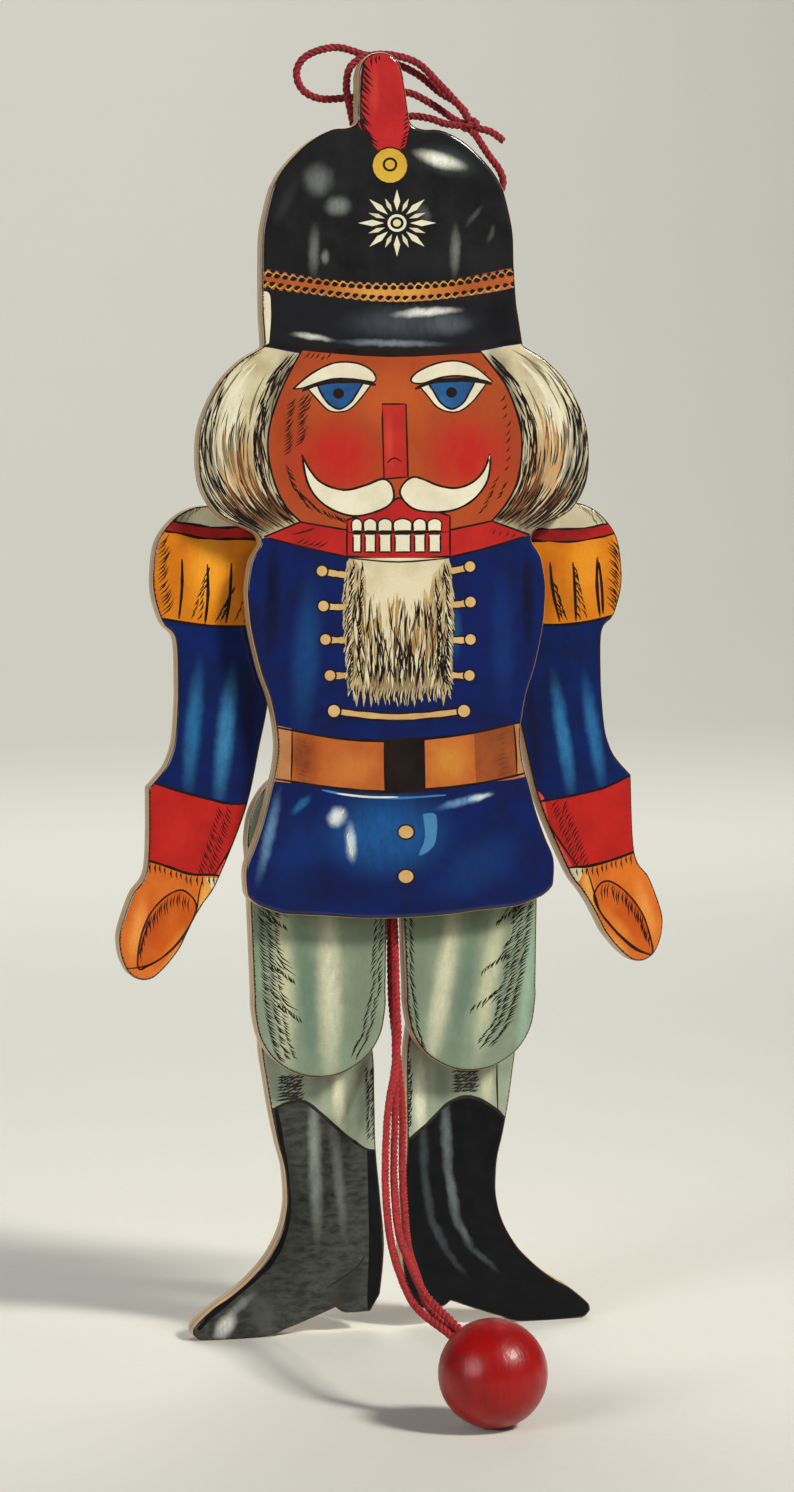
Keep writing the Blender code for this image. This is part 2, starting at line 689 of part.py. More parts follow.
# Routes of the free cords, from the origin
PULL_ROUTES = {
    "front": [
        (0.0000, 0.0046, -0.1150),
        (0.0000, 0.0022, -0.1310),
        (0.0000, 0.0012, -0.1460),
        (-0.0002, -0.0006, -0.1530),
        (-0.0018, -0.0036, -0.1600),
        (-0.0042, -0.0082, -0.1668),
        (-0.0066, -0.0160, -0.1752),
        (-0.0088, -0.0258, -0.1815),
        (-0.0110, -0.0390, -0.1872),
        (-0.0124, -0.0530, -0.1912),
        (-0.0122, -0.0655, -0.1950),
    ],
    "middle": [
        (0.0000, 0.0084, -0.1140),
        (0.0000, 0.0062, -0.1210),
        (0.0000, 0.0044, -0.1310),
        (0.0000, 0.0036, -0.1460),
        (-0.0004, 0.0010, -0.1560),
        (-0.0022, -0.0060, -0.1672),
        (-0.0044, -0.0138, -0.1758),
        (-0.0066, -0.0238, -0.1812),
        (-0.0090, -0.0375, -0.1862),
        (-0.0102, -0.0520, -0.1896),
        (-0.0104, -0.0650, -0.1928),
    ],
    "back": [
        (0.0000, 0.0112, -0.1128),
        (0.0000, 0.0094, -0.1200),
        (0.0000, 0.0066, -0.1310),
        (0.0000, 0.0058, -0.1460),
        (0.0004, 0.0034, -0.1560),
        (-0.0002, -0.0036, -0.1676),
        (-0.0022, -0.0116, -0.1768),
        (-0.0044, -0.0222, -0.1832),
        (-0.0070, -0.0364, -0.1890),
        (-0.0086, -0.0512, -0.1924),
        (-0.0094, -0.0640, -0.1956),
    ],
}
EYE_CORD_ROUTE = [
    (0.0159, 0.0012, 0.0333),
    (0.0110, 0.0016, 0.0387),
    (0.0069, 0.0016, 0.0424),
    (0.0028, 0.0016, 0.0437),
    (-0.0010, 0.0016, 0.0440),
    (-0.0045, 0.0016, 0.0432),
    (-0.0070, 0.0016, 0.0412),
    (-0.0077, 0.0016, 0.0380),
    (-0.0074, 0.0016, 0.0350),
    (-0.0060, 0.0016, 0.0280),
    (-0.0030, 0.0016, 0.0130),
    (-0.0012, 0.0016, 0.0040),
    (-0.0006, 0.0016, -0.0030),
    (0.0010, 0.0016, -0.0085),
    (0.0045, 0.0016, -0.0100),
    (0.0082, 0.0016, -0.0070),
    (0.0130, 0.0016, 0.0030),
    (0.0200, 0.0016, 0.0120),
    (0.0240, 0.0016, 0.0175),
    (0.0239, 0.0016, 0.0208),
    (0.0212, 0.0016, 0.0245),
]
LOOP_ROUTE = [
    (0.0150, 0.0049, 0.0318),
    (0.0093, 0.0038, 0.0351),
    (0.0048, 0.0036, 0.0368),
    (-0.0020, 0.0036, 0.0362),
    (-0.0081, 0.0036, 0.0354),
    (-0.0128, 0.0036, 0.0353),
    (-0.0163, 0.0036, 0.0370),
    (-0.0174, 0.0036, 0.0406),
    (-0.0152, 0.0036, 0.0438),
    (-0.0094, 0.0036, 0.0455),
    (-0.0039, 0.0036, 0.0442),
    (0.0000, 0.0036, 0.0430),
    (0.0043, 0.0036, 0.0419),
    (0.0080, 0.0036, 0.0400),
    (0.0118, 0.0038, 0.0370),
    (0.0152, 0.0046, 0.0352),
    (0.0176, 0.0052, 0.0332),
]
SHORT_TAIL_ROUTE = [
    (0.0222, 0.0026, 0.0290),
    (0.0246, 0.0020, 0.0272),
]
LONG_TAIL_ROUTE = [
    (0.0125, 0.0017, 0.0304),
    (0.0093, 0.0016, 0.0314),
    (0.0052, 0.0016, 0.0318),
    (0.0010, 0.0016, 0.0305),
    (-0.0015, 0.0016, 0.0272),
]
HANGING_KNOT = Vector((0.0180, 0.0026, 0.0300))


def off_knot(knot, point):
    """Where a cord leaves a knot on its way to a point."""
    away = Vector(point) - knot
    return knot + away.normalized() * (KNOT + FIT_GAP)


def add_pull_cords(tie):
    """Three strands from the leg tie, forward between the thighs and into the ball's bore."""
    side = BORE_LEAN.cross(Vector((0.0, 0.0, 1.0))).normalized()
    rise = side.cross(BORE_LEAN)
    floor = BALL_CENTRE - BORE_LEAN * (BALL_BORE_DEPTH - 0.5 * BALL)
    for i, (word, route) in enumerate(PULL_ROUTES.items()):
        a = radians(200.0 - 120.0 * i)
        offset = STRAND_RING * (cos(a) * side + sin(a) * rise)
        mouth = BALL_CENTRE + 0.55 * BALL * BORE_LEAN + offset
        end = floor + 2.0 * FIT_GAP * BORE_LEAN + offset
        points = [off_knot(tie, route[0]), *route, mouth, 0.5 * (mouth + end), end]
        points = smooth_route(points, POINT_SPACING)
        add_tube(f"pull_cord_{word}", points, CORD, RED_CORD)


def add_ball():
    shape = bmesh.new()
    bmesh.ops.create_uvsphere(shape, u_segments=BALL_STEPS, v_segments=BALL_STEPS // 2, radius=0.5 * BALL)
    mesh = bpy.data.meshes.new("pull_ball")
    shape.to_mesh(mesh)
    shape.free()
    mesh.shade_smooth()
    ball = add_object("pull_ball", mesh, RED_PAINT, None, BALL_CENTRE)
    bore = bmesh.new()
    radius = STRAND_RING + 0.5 * CORD + FIT_GAP
    bmesh.ops.create_cone(
        bore,
        cap_ends=True,
        segments=ROUND_STEPS,
        radius1=radius,
        radius2=radius,
        depth=2.0 * BALL_BORE_DEPTH,
    )
    cutter_mesh = bpy.data.meshes.new("ball_bore")
    bore.to_mesh(cutter_mesh)
    bore.free()
    cutter = bpy.data.objects.new("ball_bore", cutter_mesh)
    CUTTERS.objects.link(cutter)
    cutter.rotation_euler = BORE_LEAN.to_track_quat("Z", "Y").to_euler()
    cutter.location = BALL_CENTRE + 0.5 * BALL * BORE_LEAN
    cut(ball, cutter)


def add_hanging_cord():
    add_knot("hanging_knot", HANGING_KNOT)
    for name, route, both_ends in (
        ("hanging_eye_cord", EYE_CORD_ROUTE, True),
        ("hanging_loop", LOOP_ROUTE, True),
        ("hanging_short_tail", SHORT_TAIL_ROUTE, False),
        ("hanging_long_tail", LONG_TAIL_ROUTE, False),
    ):
        points = [off_knot(HANGING_KNOT, route[0]), *route]
        if both_ends:
            points.append(off_knot(HANGING_KNOT, route[-1]))
        add_tube(name, smooth_route(points, 2.0 * CORD), CORD, DARK_CORD)


clear_scene()
PARTS = new_collection("nutcracker_jumping_jack")
CUTTERS = new_collection("cutters")
COAT = new_material("lacquered_body_print", (0.06, 0.08, 0.26), 0.20)
SLEEVE = new_material("lacquered_arm_print", (0.10, 0.12, 0.36), 0.20)
TROUSER = new_material("lacquered_trouser_print", (0.62, 0.66, 0.52), 0.20)
BOOT = new_material("lacquered_boot_print", (0.05, 0.05, 0.06), 0.20)
WOOD = new_material("turned_beech", (0.62, 0.43, 0.25), 0.55)
FIBRE = new_material("fibre_washer", (0.34, 0.20, 0.12), 0.70)
BRASS = new_material("brass_tack", (0.75, 0.55, 0.22), 0.30, 1.0)
STEEL = new_material("steel_wire", (0.60, 0.60, 0.62), 0.30, 1.0)
RED_CORD = new_material("red_pull_cord", (0.55, 0.03, 0.03), 0.75)
DARK_CORD = new_material("dark_red_hanging_cord", (0.30, 0.02, 0.02), 0.75)
RED_PAINT = new_material("red_painted_ball", (0.50, 0.02, 0.02), 0.30)

add_body()
add_staple()
for word, side in SIDES:
    add_arm(word, side)
    add_leg(word, side)
add_pull_cords(add_links())
add_ball()
add_hanging_cord()
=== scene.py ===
"""Dressed jumping jack: printed, lacquered plywood plates on turned pegs, with twisted red cords."""

import random
from math import ceil, cos, degrees, hypot, pi, radians, sin

import bmesh
import bpy
import numpy as np
from mathutils import Matrix, Vector
from mathutils.geometry import delaunay_2d_cdt


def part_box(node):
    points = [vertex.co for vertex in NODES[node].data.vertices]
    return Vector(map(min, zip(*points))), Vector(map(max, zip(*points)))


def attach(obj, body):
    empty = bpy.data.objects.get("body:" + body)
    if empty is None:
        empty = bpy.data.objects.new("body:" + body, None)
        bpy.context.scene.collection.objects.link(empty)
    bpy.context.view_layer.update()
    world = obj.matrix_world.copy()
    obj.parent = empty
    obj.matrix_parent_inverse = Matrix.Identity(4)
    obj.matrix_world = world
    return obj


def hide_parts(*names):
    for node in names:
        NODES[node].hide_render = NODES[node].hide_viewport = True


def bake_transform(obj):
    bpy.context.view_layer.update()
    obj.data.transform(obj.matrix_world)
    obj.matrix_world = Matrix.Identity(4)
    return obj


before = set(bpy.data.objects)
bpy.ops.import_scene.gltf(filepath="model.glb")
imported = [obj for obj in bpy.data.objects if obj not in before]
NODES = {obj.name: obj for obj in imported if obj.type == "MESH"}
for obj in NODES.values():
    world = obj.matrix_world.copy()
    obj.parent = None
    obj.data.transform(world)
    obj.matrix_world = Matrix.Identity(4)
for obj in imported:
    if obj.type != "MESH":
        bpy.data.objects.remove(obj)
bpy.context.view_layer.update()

# The photograph and the camera that takes it again
PHOTO_WIDTH = 794
PHOTO_HEIGHT = 1492
FOCAL = 3750.0  # pixels
SENSOR = 36.0  # mm
AZIMUTH = radians(-13.0)
ELEVATION = radians(3.0)
ROLL = radians(0.75)
DISTANCE = 0.75  # metres
TARGET = Vector((-0.00065, -0.005, -0.09407))

# Sizes of the real pieces, in metres
MM = 0.001
ROUNDING = 0.00075  # lacquered front edge
BACK_ROUNDING = 0.0003
BARE_RIM = 0.00012  # unprinted line along the front edge
INK_RIM = 0.00042  # printed outline beside it
CORD = 0.0015
KNOT = 0.0021
LAY_PITCH = 0.0034  # one turn of a cord's three plies
PEG_BORE = 0.0023
STUD_BORE = 0.0010
STAPLE_BORE = 0.0009
BLIND_DEPTH = 0.0033
STUD_BORE_DEPTH = 0.0031
PIXEL = 0.0002  # a photo pixel on the plates
OUTLINE_STEP = 0.0006  # between the points of a plate's outline
ROLL_SHARES = (0.06, 0.2, 0.4, 0.65, 1.0, 1.45)  # rings of points over the front edge, in roundings
PLY = 0.256  # a ply's radius and its distance from the cord's middle, in the cord's diameters
PLY_RING = 0.284
FIBRE_STEP = 0.0016  # between a cord's loose fibres
FIBRE = (0.00004, 0.00003, 0.00001)  # a loose fibre's radius from root to tip
KNOT_EXIT = 0.6 * KNOT  # from a knot's middle to where a cord leaves its turns

LEVEL = 1e-5  # points this close in depth lie in one plane
WELD = 2e-7  # points this close are one

# How shapes are drawn
CORNER_TURN = 38.0  # degrees from which a turn of an outline is a real corner
STRAIGHT_PARTS = 10  # an edge this many times longer than its neighbour is a straight side
BLOCK = 500  # points measured at a time
BORE_SIDES = 24
BEVEL_STEPS = 4
STRAND_ROWS = 25  # points along a guide line of hair
STROKE_BOW = 0.08  # how far a short stroke bends, in its own lengths
BLEED = 75.0  # photo pixels that a fill runs out past the plate's sides

SIDES = (("left", -1.0), ("right", 1.0))


def camera_axes():
    """Right, up and forward of the camera, from its bearing and roll."""
    back = Vector((sin(AZIMUTH) * cos(ELEVATION), -cos(AZIMUTH) * cos(ELEVATION), sin(ELEVATION)))
    right = (-back).cross(Vector((0.0, 0.0, 1.0))).normalized()
    up = right.cross(-back)
    return right * cos(ROLL) - up * sin(ROLL), up * cos(ROLL) + right * sin(ROLL), -back


RIGHT, UP, FORWARD = camera_axes()
EYE = TARGET - DISTANCE * FORWARD


def on_plate(x, y, front):
    """Where a photo pixel falls on a plate whose front face stands at that Y: (X, Z) in metres."""
    across = (float(x) - 0.5 * PHOTO_WIDTH) / FOCAL
    down = (float(y) - 0.5 * PHOTO_HEIGHT) / FOCAL
    ray = FORWARD + across * RIGHT - down * UP
    spot = EYE + ray * ((front - EYE.y) / ray.y)
    return spot.x, spot.z


def add_camera():
    data = bpy.data.cameras.new("camera")
    data.sensor_fit = "AUTO"
    data.sensor_width = SENSOR
    data.lens = FOCAL / PHOTO_HEIGHT * SENSOR
    camera = bpy.data.objects.new("camera", data)
    bpy.context.scene.collection.objects.link(camera)
    turn = Matrix((RIGHT, UP, -FORWARD)).transposed().to_4x4()
    camera.matrix_world = Matrix.Translation(EYE) @ turn
    bpy.context.scene.camera = camera


# Curves in the plane


def smooth(points, closed, steps=4):
    """A curve through the points. A point given twice in a row is a corner."""
    points = [np.array(p, float) for p in points]
    if closed:
        points = [points[-1]] + points + points[:2]
    else:
        points = [points[0]] + points + [points[-1]]
    out = []
    for a, b, c, d in zip(points, points[1:], points[2:], points[3:]):
        if np.abs(c - b).max() < 1e-9:
            continue
        into = 0.5 * (c - a)
        out_of = 0.5 * (d - b)
        for i in range(steps):
            t = i / steps
            out.append(
                (2 * t**3 - 3 * t**2 + 1) * b
                + (t**3 - 2 * t**2 + t) * into
                + (3 * t**2 - 2 * t**3) * c
                + (t**3 - t**2) * out_of
            )
    if not closed:
        out.append(points[-1])
    return out


def sharp(*points):
    """Corner points for smooth()."""
    return [p for point in points for p in (point, point)]


def cornered(line):
    """A line for smooth() with a corner at each of its ends."""
    return [line[0], *line, line[-1]]


def along(points, count):
    """Evenly spaced points along a broken line."""
    points = np.array(points, float)
    steps = np.linalg.norm(np.diff(points, axis=0), axis=1)
    place = np.concatenate([[0.0], np.cumsum(steps)])
    wanted = np.linspace(0.0, place[-1], count)
    return np.stack([np.interp(wanted, place, points[:, k]) for k in range(points.shape[1])], axis=1)


def line_length(points):
    return float(np.linalg.norm(np.diff(np.asarray(points), axis=0), axis=1).sum())


def signed_area(points):
    p = np.asarray(points, float)
    q = np.roll(p, -1, axis=0)
    return 0.5 * float(np.sum(p[:, 0] * q[:, 1] - q[:, 0] * p[:, 1]))


class Print:
    """The printed shapes on one plate, given in photo pixels, in the order they were laid down."""

    UNEVEN_WIDTH = (0.85, 1.15)  # shares of a line's width
    UNEVEN_LENGTH = (0.75, 1.2)  # shares of a short stroke's length
    STRAY = 0.7  # how far a short stroke starts from its place, in pixels
    SWAY = 4.5  # how far it turns from its lean, in degrees
    PART = 6  # steps of a closed line that are laid as one shape

    def __init__(self, node):
        self.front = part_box(node)[0].y
        self.shapes = []
        self.chance = random.Random(node)

    def lay(self, paint, pixels):
        """One closed shape, turned the right way round for the mesh."""
        places = [on_plate(x, y, self.front) for x, y in pixels]
        if signed_area(places) < 0.0:
            places.reverse()
        self.shapes.append((paint, places))

    def fill(self, paint, pixels, ink=0.0):
        self.lay(paint, smooth(pixels, True))
        if ink:
            self.line(pixels, ink, closed=True)

    def below(self, paint, line, depth):
        """Everything below a line that runs from left to right, out past the plate's sides."""
        left = line[0][0] - BLEED
        right = line[-1][0] + BLEED
        foot = max(y for _, y in line) + depth
        sides = [(right, line[-1][1]), (right, foot), (left, foot), (left, line[0][1])]
        self.lay(paint, smooth(line, False) + sides)

    def spot(self, paint, x, y, wide, high=None, ink=0.0, steps=18):
        high = wide if high is None else high
        turns = [2.0 * pi * i / steps for i in range(steps)]
        if ink:
            self.lay("ink", [(x + (wide + ink) * cos(a), y + (high + ink) * sin(a)) for a in turns])
        self.lay(paint, [(x + wide * cos(a), y + high * sin(a)) for a in turns])

    def line(self, pixels, width, paint="ink", closed=False, ends=0.35, steps=4):
        """A drawn line, thinner at its ends, with a hand's small unevenness."""
        path = np.array(smooth(pixels, closed, steps))
        if closed:
            path = np.vstack([path, path[:1]])
        slope = np.gradient(path, axis=0)
        slope /= np.linalg.norm(slope, axis=1)[:, None] + 1e-9
        across = np.stack([-slope[:, 1], slope[:, 0]], axis=1)
        t = np.linspace(0.0, 1.0, len(path))
        shape = np.ones(len(path)) if closed else ends + (1.0 - ends) * np.sin(pi * t) ** 0.6
        uneven = np.array([self.chance.uniform(*self.UNEVEN_WIDTH) for _ in path])
        half = 0.5 * width * shape * uneven
        if closed:
            half[-1] = half[0]
            across[-1] = across[0]
            for i in range(0, len(path) - 1, self.PART):
                part = slice(i, min(i + self.PART + 1, len(path)))
                self.ribbon(paint, path[part], across[part], half[part])
        else:
            self.ribbon(paint, path, across, half)

    def ribbon(self, paint, path, across, half):
        left = path + across * half[:, None]
        right = path - across * half[:, None]
        self.lay(paint, [*left, *right[::-1]])

    def hatch(self, path, count, length, lean, width=1.5, paint="ink"):
        """Short strokes standing on a path. lean is in degrees: 0 to the right, 90 up.

        A length that varies down the plate is a pair of lists: heights, and the length at each."""
        for x, y in along(path, count):
            a = radians(lean + self.chance.uniform(-self.SWAY, self.SWAY))
            size = np.interp(y, *length) if isinstance(length, tuple) else length
            size *= self.chance.uniform(*self.UNEVEN_LENGTH)
            x += self.chance.uniform(-self.STRAY, self.STRAY)
            y += self.chance.uniform(-self.STRAY, self.STRAY)
            dx = size * cos(a)
            dy = -size * sin(a)
            middle = (x + 0.5 * dx - STROKE_BOW * dy, y + 0.5 * dy + STROKE_BOW * dx)
            self.line([(x, y), middle, (x + dx, y + dy)], width, paint, ends=0.2, steps=1)

    def hatches(self, rows, paint="ink"):
        for row in rows:
            self.hatch(*row, paint)

    def strands(self, first, last, count, paint, width, sides, rows, size):
        """Hair strokes that run along two guide lines and lie between them.

        sides, rows and size are ranges, as shares: across, along, and of a stroke's own length."""
        first = along(smooth(first, False), STRAND_ROWS)
        last = along(smooth(last, False), STRAND_ROWS)
        for _ in range(count):
            share = self.chance.uniform(*sides)
            drift = self.chance.uniform(-0.05, 0.05)
            span = self.chance.uniform(*size)
            start = self.chance.uniform(rows[0], max(rows[0], rows[1] - span))
            pixels = []
            for k in range(5):
                row = min(start + span * k / 4.0, 1.0) * (STRAND_ROWS - 1)
                low = min(int(row), STRAND_ROWS - 2)
                side = share + drift * k / 4.0
                a = first[low] + (first[low + 1] - first[low]) * (row - low)
                b = last[low] + (last[low + 1] - last[low]) * (row - low)
                pixels.append(a + (b - a) * side)
            self.line(pixels, width * self.chance.uniform(0.6, 1.3), paint, ends=0.15, steps=1)


# Finishes


PAINTS = {}
WANDER = 0.0011  # how far the edge of a brushed area strays
BODY_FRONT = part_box("body_plate")[0].y
LIMB_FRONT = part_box("left_arm")[0].y
SHIN_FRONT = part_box("left_boot")[0].y


def rgb(red, green, blue):
    """A colour as it shows on a screen, 0 to 255, in the renderer's linear light."""
    out = []
    for value in (red, green, blue):
        v = value / 255.0
        out.append(v / 12.92 if v <= 0.04045 else ((v + 0.055) / 1.055) ** 2.4)
    return (*out, 1.0)


def shade(colour, factor):
    return (*(min(1.0, c * factor) for c in colour[:3]), 1.0)


class Finish:
    """A procedural material, built up layer by layer in the part's own coordinates."""

    def __init__(self, name):
        self.name = name
        self.material = bpy.data.materials.new(name)
        self.material.use_nodes = True
        self.nodes = self.material.node_tree.nodes
        self.links = self.material.node_tree.links
        self.shader = self.nodes["Principled BSDF"]
        self.place = self.nodes.new("ShaderNodeTexCoord").outputs["Object"]

    def put(self, socket, value):
        if isinstance(value, bpy.types.NodeSocket):
            self.links.new(value, socket)
        else:
            socket.default_value = value

    def settle(self, values):
        """Gives the shader's inputs their values, by name."""
        for key, value in values.items():
            self.put(self.shader.inputs[key], value)

    def node(self, kind, inputs, **settings):
        made = self.nodes.new(kind)
        for key, value in settings.items():
            setattr(made, key, value)
        for key, value in inputs.items():
            self.put(made.inputs[key], value)
        return made

    def noise(self, scale, detail=3.0, rough=0.55, place=None, stretch=None, output="Fac"):
        place = self.place if place is None else place
        if stretch:
            place = self.node("ShaderNodeMapping", {"Vector": place, "Scale": stretch}).outputs["Vector"]
        inputs = {"Vector": place, "Scale": scale, "Detail": detail, "Roughness": rough}
        return self.node("ShaderNodeTexNoise", inputs).outputs[output]

    def vector(self, operation, *inputs):
        return self.node("ShaderNodeVectorMath", dict(enumerate(inputs)), operation=operation)

    def math(self, operation, a, b):
        return self.node("ShaderNodeMath", {0: a, 1: b}, operation=operation).outputs["Value"]

    def spread(self, value, low, high, to_low, to_high, kind="LINEAR"):
        inputs = {"Value": value, 1: low, 2: high, 3: to_low, 4: to_high}
        return self.node("ShaderNodeMapRange", inputs, interpolation_type=kind).outputs["Result"]

    def mix(self, factor, a, b):
        return self.node("ShaderNodeMix", {0: factor, 6: a, 7: b}, data_type="RGBA").outputs[2]

    def tint(self, tone, mask, low, high, most, colour):
        """Lets a colour into the tone, from none where the mask is low to its most where it is high."""
        return self.mix(self.spread(mask, low, high, 0.0, most), tone, colour)

    def bump(self, height, distance, coat=False):
        made = self.node("ShaderNodeBump", {"Strength": 1.0, "Distance": distance, "Height": height})
        self.settle({"Normal": made.outputs["Normal"]})
        if coat:
            self.settle({"Coat Normal": made.outputs["Normal"]})

    def close(self, colour, mask, least, most):
        """Ends the finish with its colour and a roughness that follows a mask."""
        self.settle({"Base Color": colour, "Roughness": self.spread(mask, 0.3, 0.7, least, most)})
        PAINTS[self.name] = self.material


def paint(name, colour, other, front, smudges=(), patch=150.0, brush=None, coat=0.75):
    """Printed colour under lacquer: two mottled tones, airbrushed smudges, brush marks and print grain. A
    few smudges are painted light: painted highlights and painted shade.

    patch is the fineness of the mottling, and brush stretches it into brush strokes."""
    make = Finish(name)
    wander = make.noise(420.0, 3.0, output="Color")
    shift = make.vector("SUBTRACT", wander, (0.5, 0.5, 0.5)).outputs["Vector"]
    brushed = make.vector("MULTIPLY_ADD", shift, (WANDER, WANDER, WANDER), make.place).outputs["Vector"]
    wash = make.noise(patch, 4.0, 0.6, place=brushed, stretch=brush)
    tone = make.tint(rgb(*colour), wash, 0.38, 0.66, 1.0, rgb(*other))
    marks = make.noise(900.0, 2.0, 0.6, stretch=(1.0, 1.0, 0.35))
    fade = make.spread(marks, 0.3, 0.62, 0.72, 1.05)
    # Smudges: the print's airbrushing, and a few painted highlights and painted shade.
    for x, y, wide, high, lean, airbrush_and_painted_light, strength in smudges:
        at_x, at_z = on_plate(x, y, front)
        spot = make.node(
            "ShaderNodeMapping",
            {
                "Vector": brushed,
                "Location": (at_x, 0.0, at_z),
                "Rotation": (0.0, radians(lean), 0.0),
                "Scale": (wide * PIXEL, 100.0, high * PIXEL),
            },
            vector_type="TEXTURE",
        )
        far = make.vector("LENGTH", spot.outputs["Vector"]).outputs["Value"]
        mask = make.spread(far, 0.15, 1.0, strength, 0.0, "SMOOTHSTEP")
        tone = make.mix(make.math("MULTIPLY", mask, fade), tone, rgb(*airbrush_and_painted_light))
    grain = make.noise(2600.0, 2.0, 0.7)
    tone = make.tint(tone, grain, 0.35, 0.7, 0.2, shade(rgb(*colour), 0.55))
    waves = make.noise(260.0, 2.0, 0.45)
    specks = make.noise(1500.0, 2.0, 0.5)
    make.bump(make.math("ADD", waves, make.math("MULTIPLY", specks, 0.12)), 0.00010, coat=True)
    make.settle({"Coat Weight": coat, "Coat Roughness": 0.07, "Coat IOR": 1.5, "Specular IOR Level": 0.1})
    make.close(tone, wash, 0.38, 0.56)


def plywood_side(name, pale, dark):
    """The side of birch plywood: stacked layers with dark glue lines, under thin lacquer."""
    make = Finish(name)
    fibre = make.noise(700.0, 3.0, 0.6, stretch=(0.5, 6.0, 0.5))
    bands = {"Vector": make.place, "Scale": 95.0, "Distortion": 0.5, "Detail": 2.0, "Phase Offset": 0.6}
    wave = make.node("ShaderNodeTexWave", bands, bands_direction="Y").outputs["Fac"]
    glue = make.spread(wave, 0.02, 0.22, 0.75, 0.0)
    tone = make.tint(pale, fibre, 0.3, 0.7, 0.7, dark)
    tone = make.mix(glue, tone, shade(dark, 0.45))
    make.bump(make.math("SUBTRACT", fibre, glue), 0.00012)
    make.settle({"Coat Weight": 0.35, "Coat Roughness": 0.25})
    make.close(tone, fibre, 0.45, 0.65)


def plywood_back(name, pale, dark):
    """The bare back of birch plywood, with long upright grain."""
    make = Finish(name)
    fibre = make.noise(520.0, 5.0, 0.62, stretch=(1.0, 1.0, 0.05))
    figure = make.noise(60.0, 3.0, 0.5, stretch=(1.0, 1.0, 0.12))
    tone = make.tint(pale, figure, 0.38, 0.62, 0.8, dark)
    tone = make.tint(tone, fibre, 0.42, 0.72, 0.6, shade(dark, 0.6))
    make.bump(make.math("ADD", fibre, make.math("MULTIPLY", figure, 0.5)), 0.00012)
    make.close(tone, fibre, 0.45, 0.65)


def turned_wood(name, pale, dark):
    make = Finish(name)
    rings = make.noise(900.0, 3.0, 0.6, stretch=(1.0, 0.25, 1.0))
    flecks = make.noise(2600.0, 2.0, 0.5)
    tone = make.tint(pale, rings, 0.35, 0.65, 0.9, dark)
    tone = make.tint(tone, flecks, 0.55, 0.75, 0.5, shade(dark, 0.5))
    make.bump(make.math("ADD", rings, flecks), 0.00008)
    make.close(tone, flecks, 0.42, 0.62)


def metal(name, colour, worn, roughness):
    make = Finish(name)
    dull = make.noise(1300.0, 4.0, 0.6)
    tone = make.tint(colour, dull, 0.4, 0.7, 0.9, worn)
    scratches = make.noise(3800.0, 2.0, 0.5, stretch=(1.0, 0.2, 1.0))
    make.bump(make.math("ADD", scratches, dull), 0.00003)
    make.settle({"Metallic": 1.0})
    make.close(tone, dull, roughness, roughness + 0.25)


def fibre_board(name, pale, dark):
    make = Finish(name)
    pulp = make.noise(2200.0, 4.0, 0.7)
    cloud = make.noise(500.0, 2.0)
    tone = make.tint(pale, pulp, 0.35, 0.65, 1.0, dark)
    tone = make.tint(tone, cloud, 0.4, 0.6, 0.3, shade(dark, 0.5))
    make.bump(pulp, 0.00008)
    make.close(tone, pulp, 0.7, 0.9)


def cord_yarn(name, colour, dark, light):
    """Spun yarn: darker tufts, and pale fibres across the plies."""
    make = Finish(name)
    fuzz = make.noise(5200.0, 3.0, 0.65)
    tufts = make.noise(1500.0, 2.0, 0.5)
    tone = make.tint(colour, tufts, 0.38, 0.66, 1.0, dark)
    tone = make.tint(tone, fuzz, 0.52, 0.74, 0.4, light)
    make.bump(fuzz, 0.00012)
    make.settle({"Sheen Weight": 0.06, "Sheen Roughness": 0.5})
    make.close(tone, fuzz, 0.6, 0.85)


def ball_paint(name, colour, dark):
    """Thick dipped paint over turned wood: the grain shows through as relief."""
    make = Finish(name)
    grain = make.noise(620.0, 4.0, 0.6, stretch=(1.0, 1.0, 0.18))
    drips = make.noise(130.0, 3.0, 0.5)
    tone = make.tint(colour, grain, 0.4, 0.72, 0.5, dark)
    tone = make.tint(tone, drips, 0.45, 0.7, 0.35, shade(dark, 0.6))
    make.bump(make.math("ADD", grain, drips), 0.00014, coat=True)
    make.settle({"Coat Weight": 0.35, "Coat Roughness": 0.3, "Specular IOR Level": 0.2})
    make.close(tone, grain, 0.30, 0.46)


def studio_paper(name, colour):
    make = Finish(name)
    fibres = make.noise(420.0, 3.0, 0.6)
    cloud = make.noise(6.0, 2.0)
    tone = make.tint(colour, fibres, 0.3, 0.7, 0.25, shade(colour, 0.93))
    tone = make.tint(tone, cloud, 0.35, 0.65, 0.2, shade(colour, 0.95))
    make.bump(fibres, 0.00005)
    make.close(tone, fibres, 0.8, 0.95)


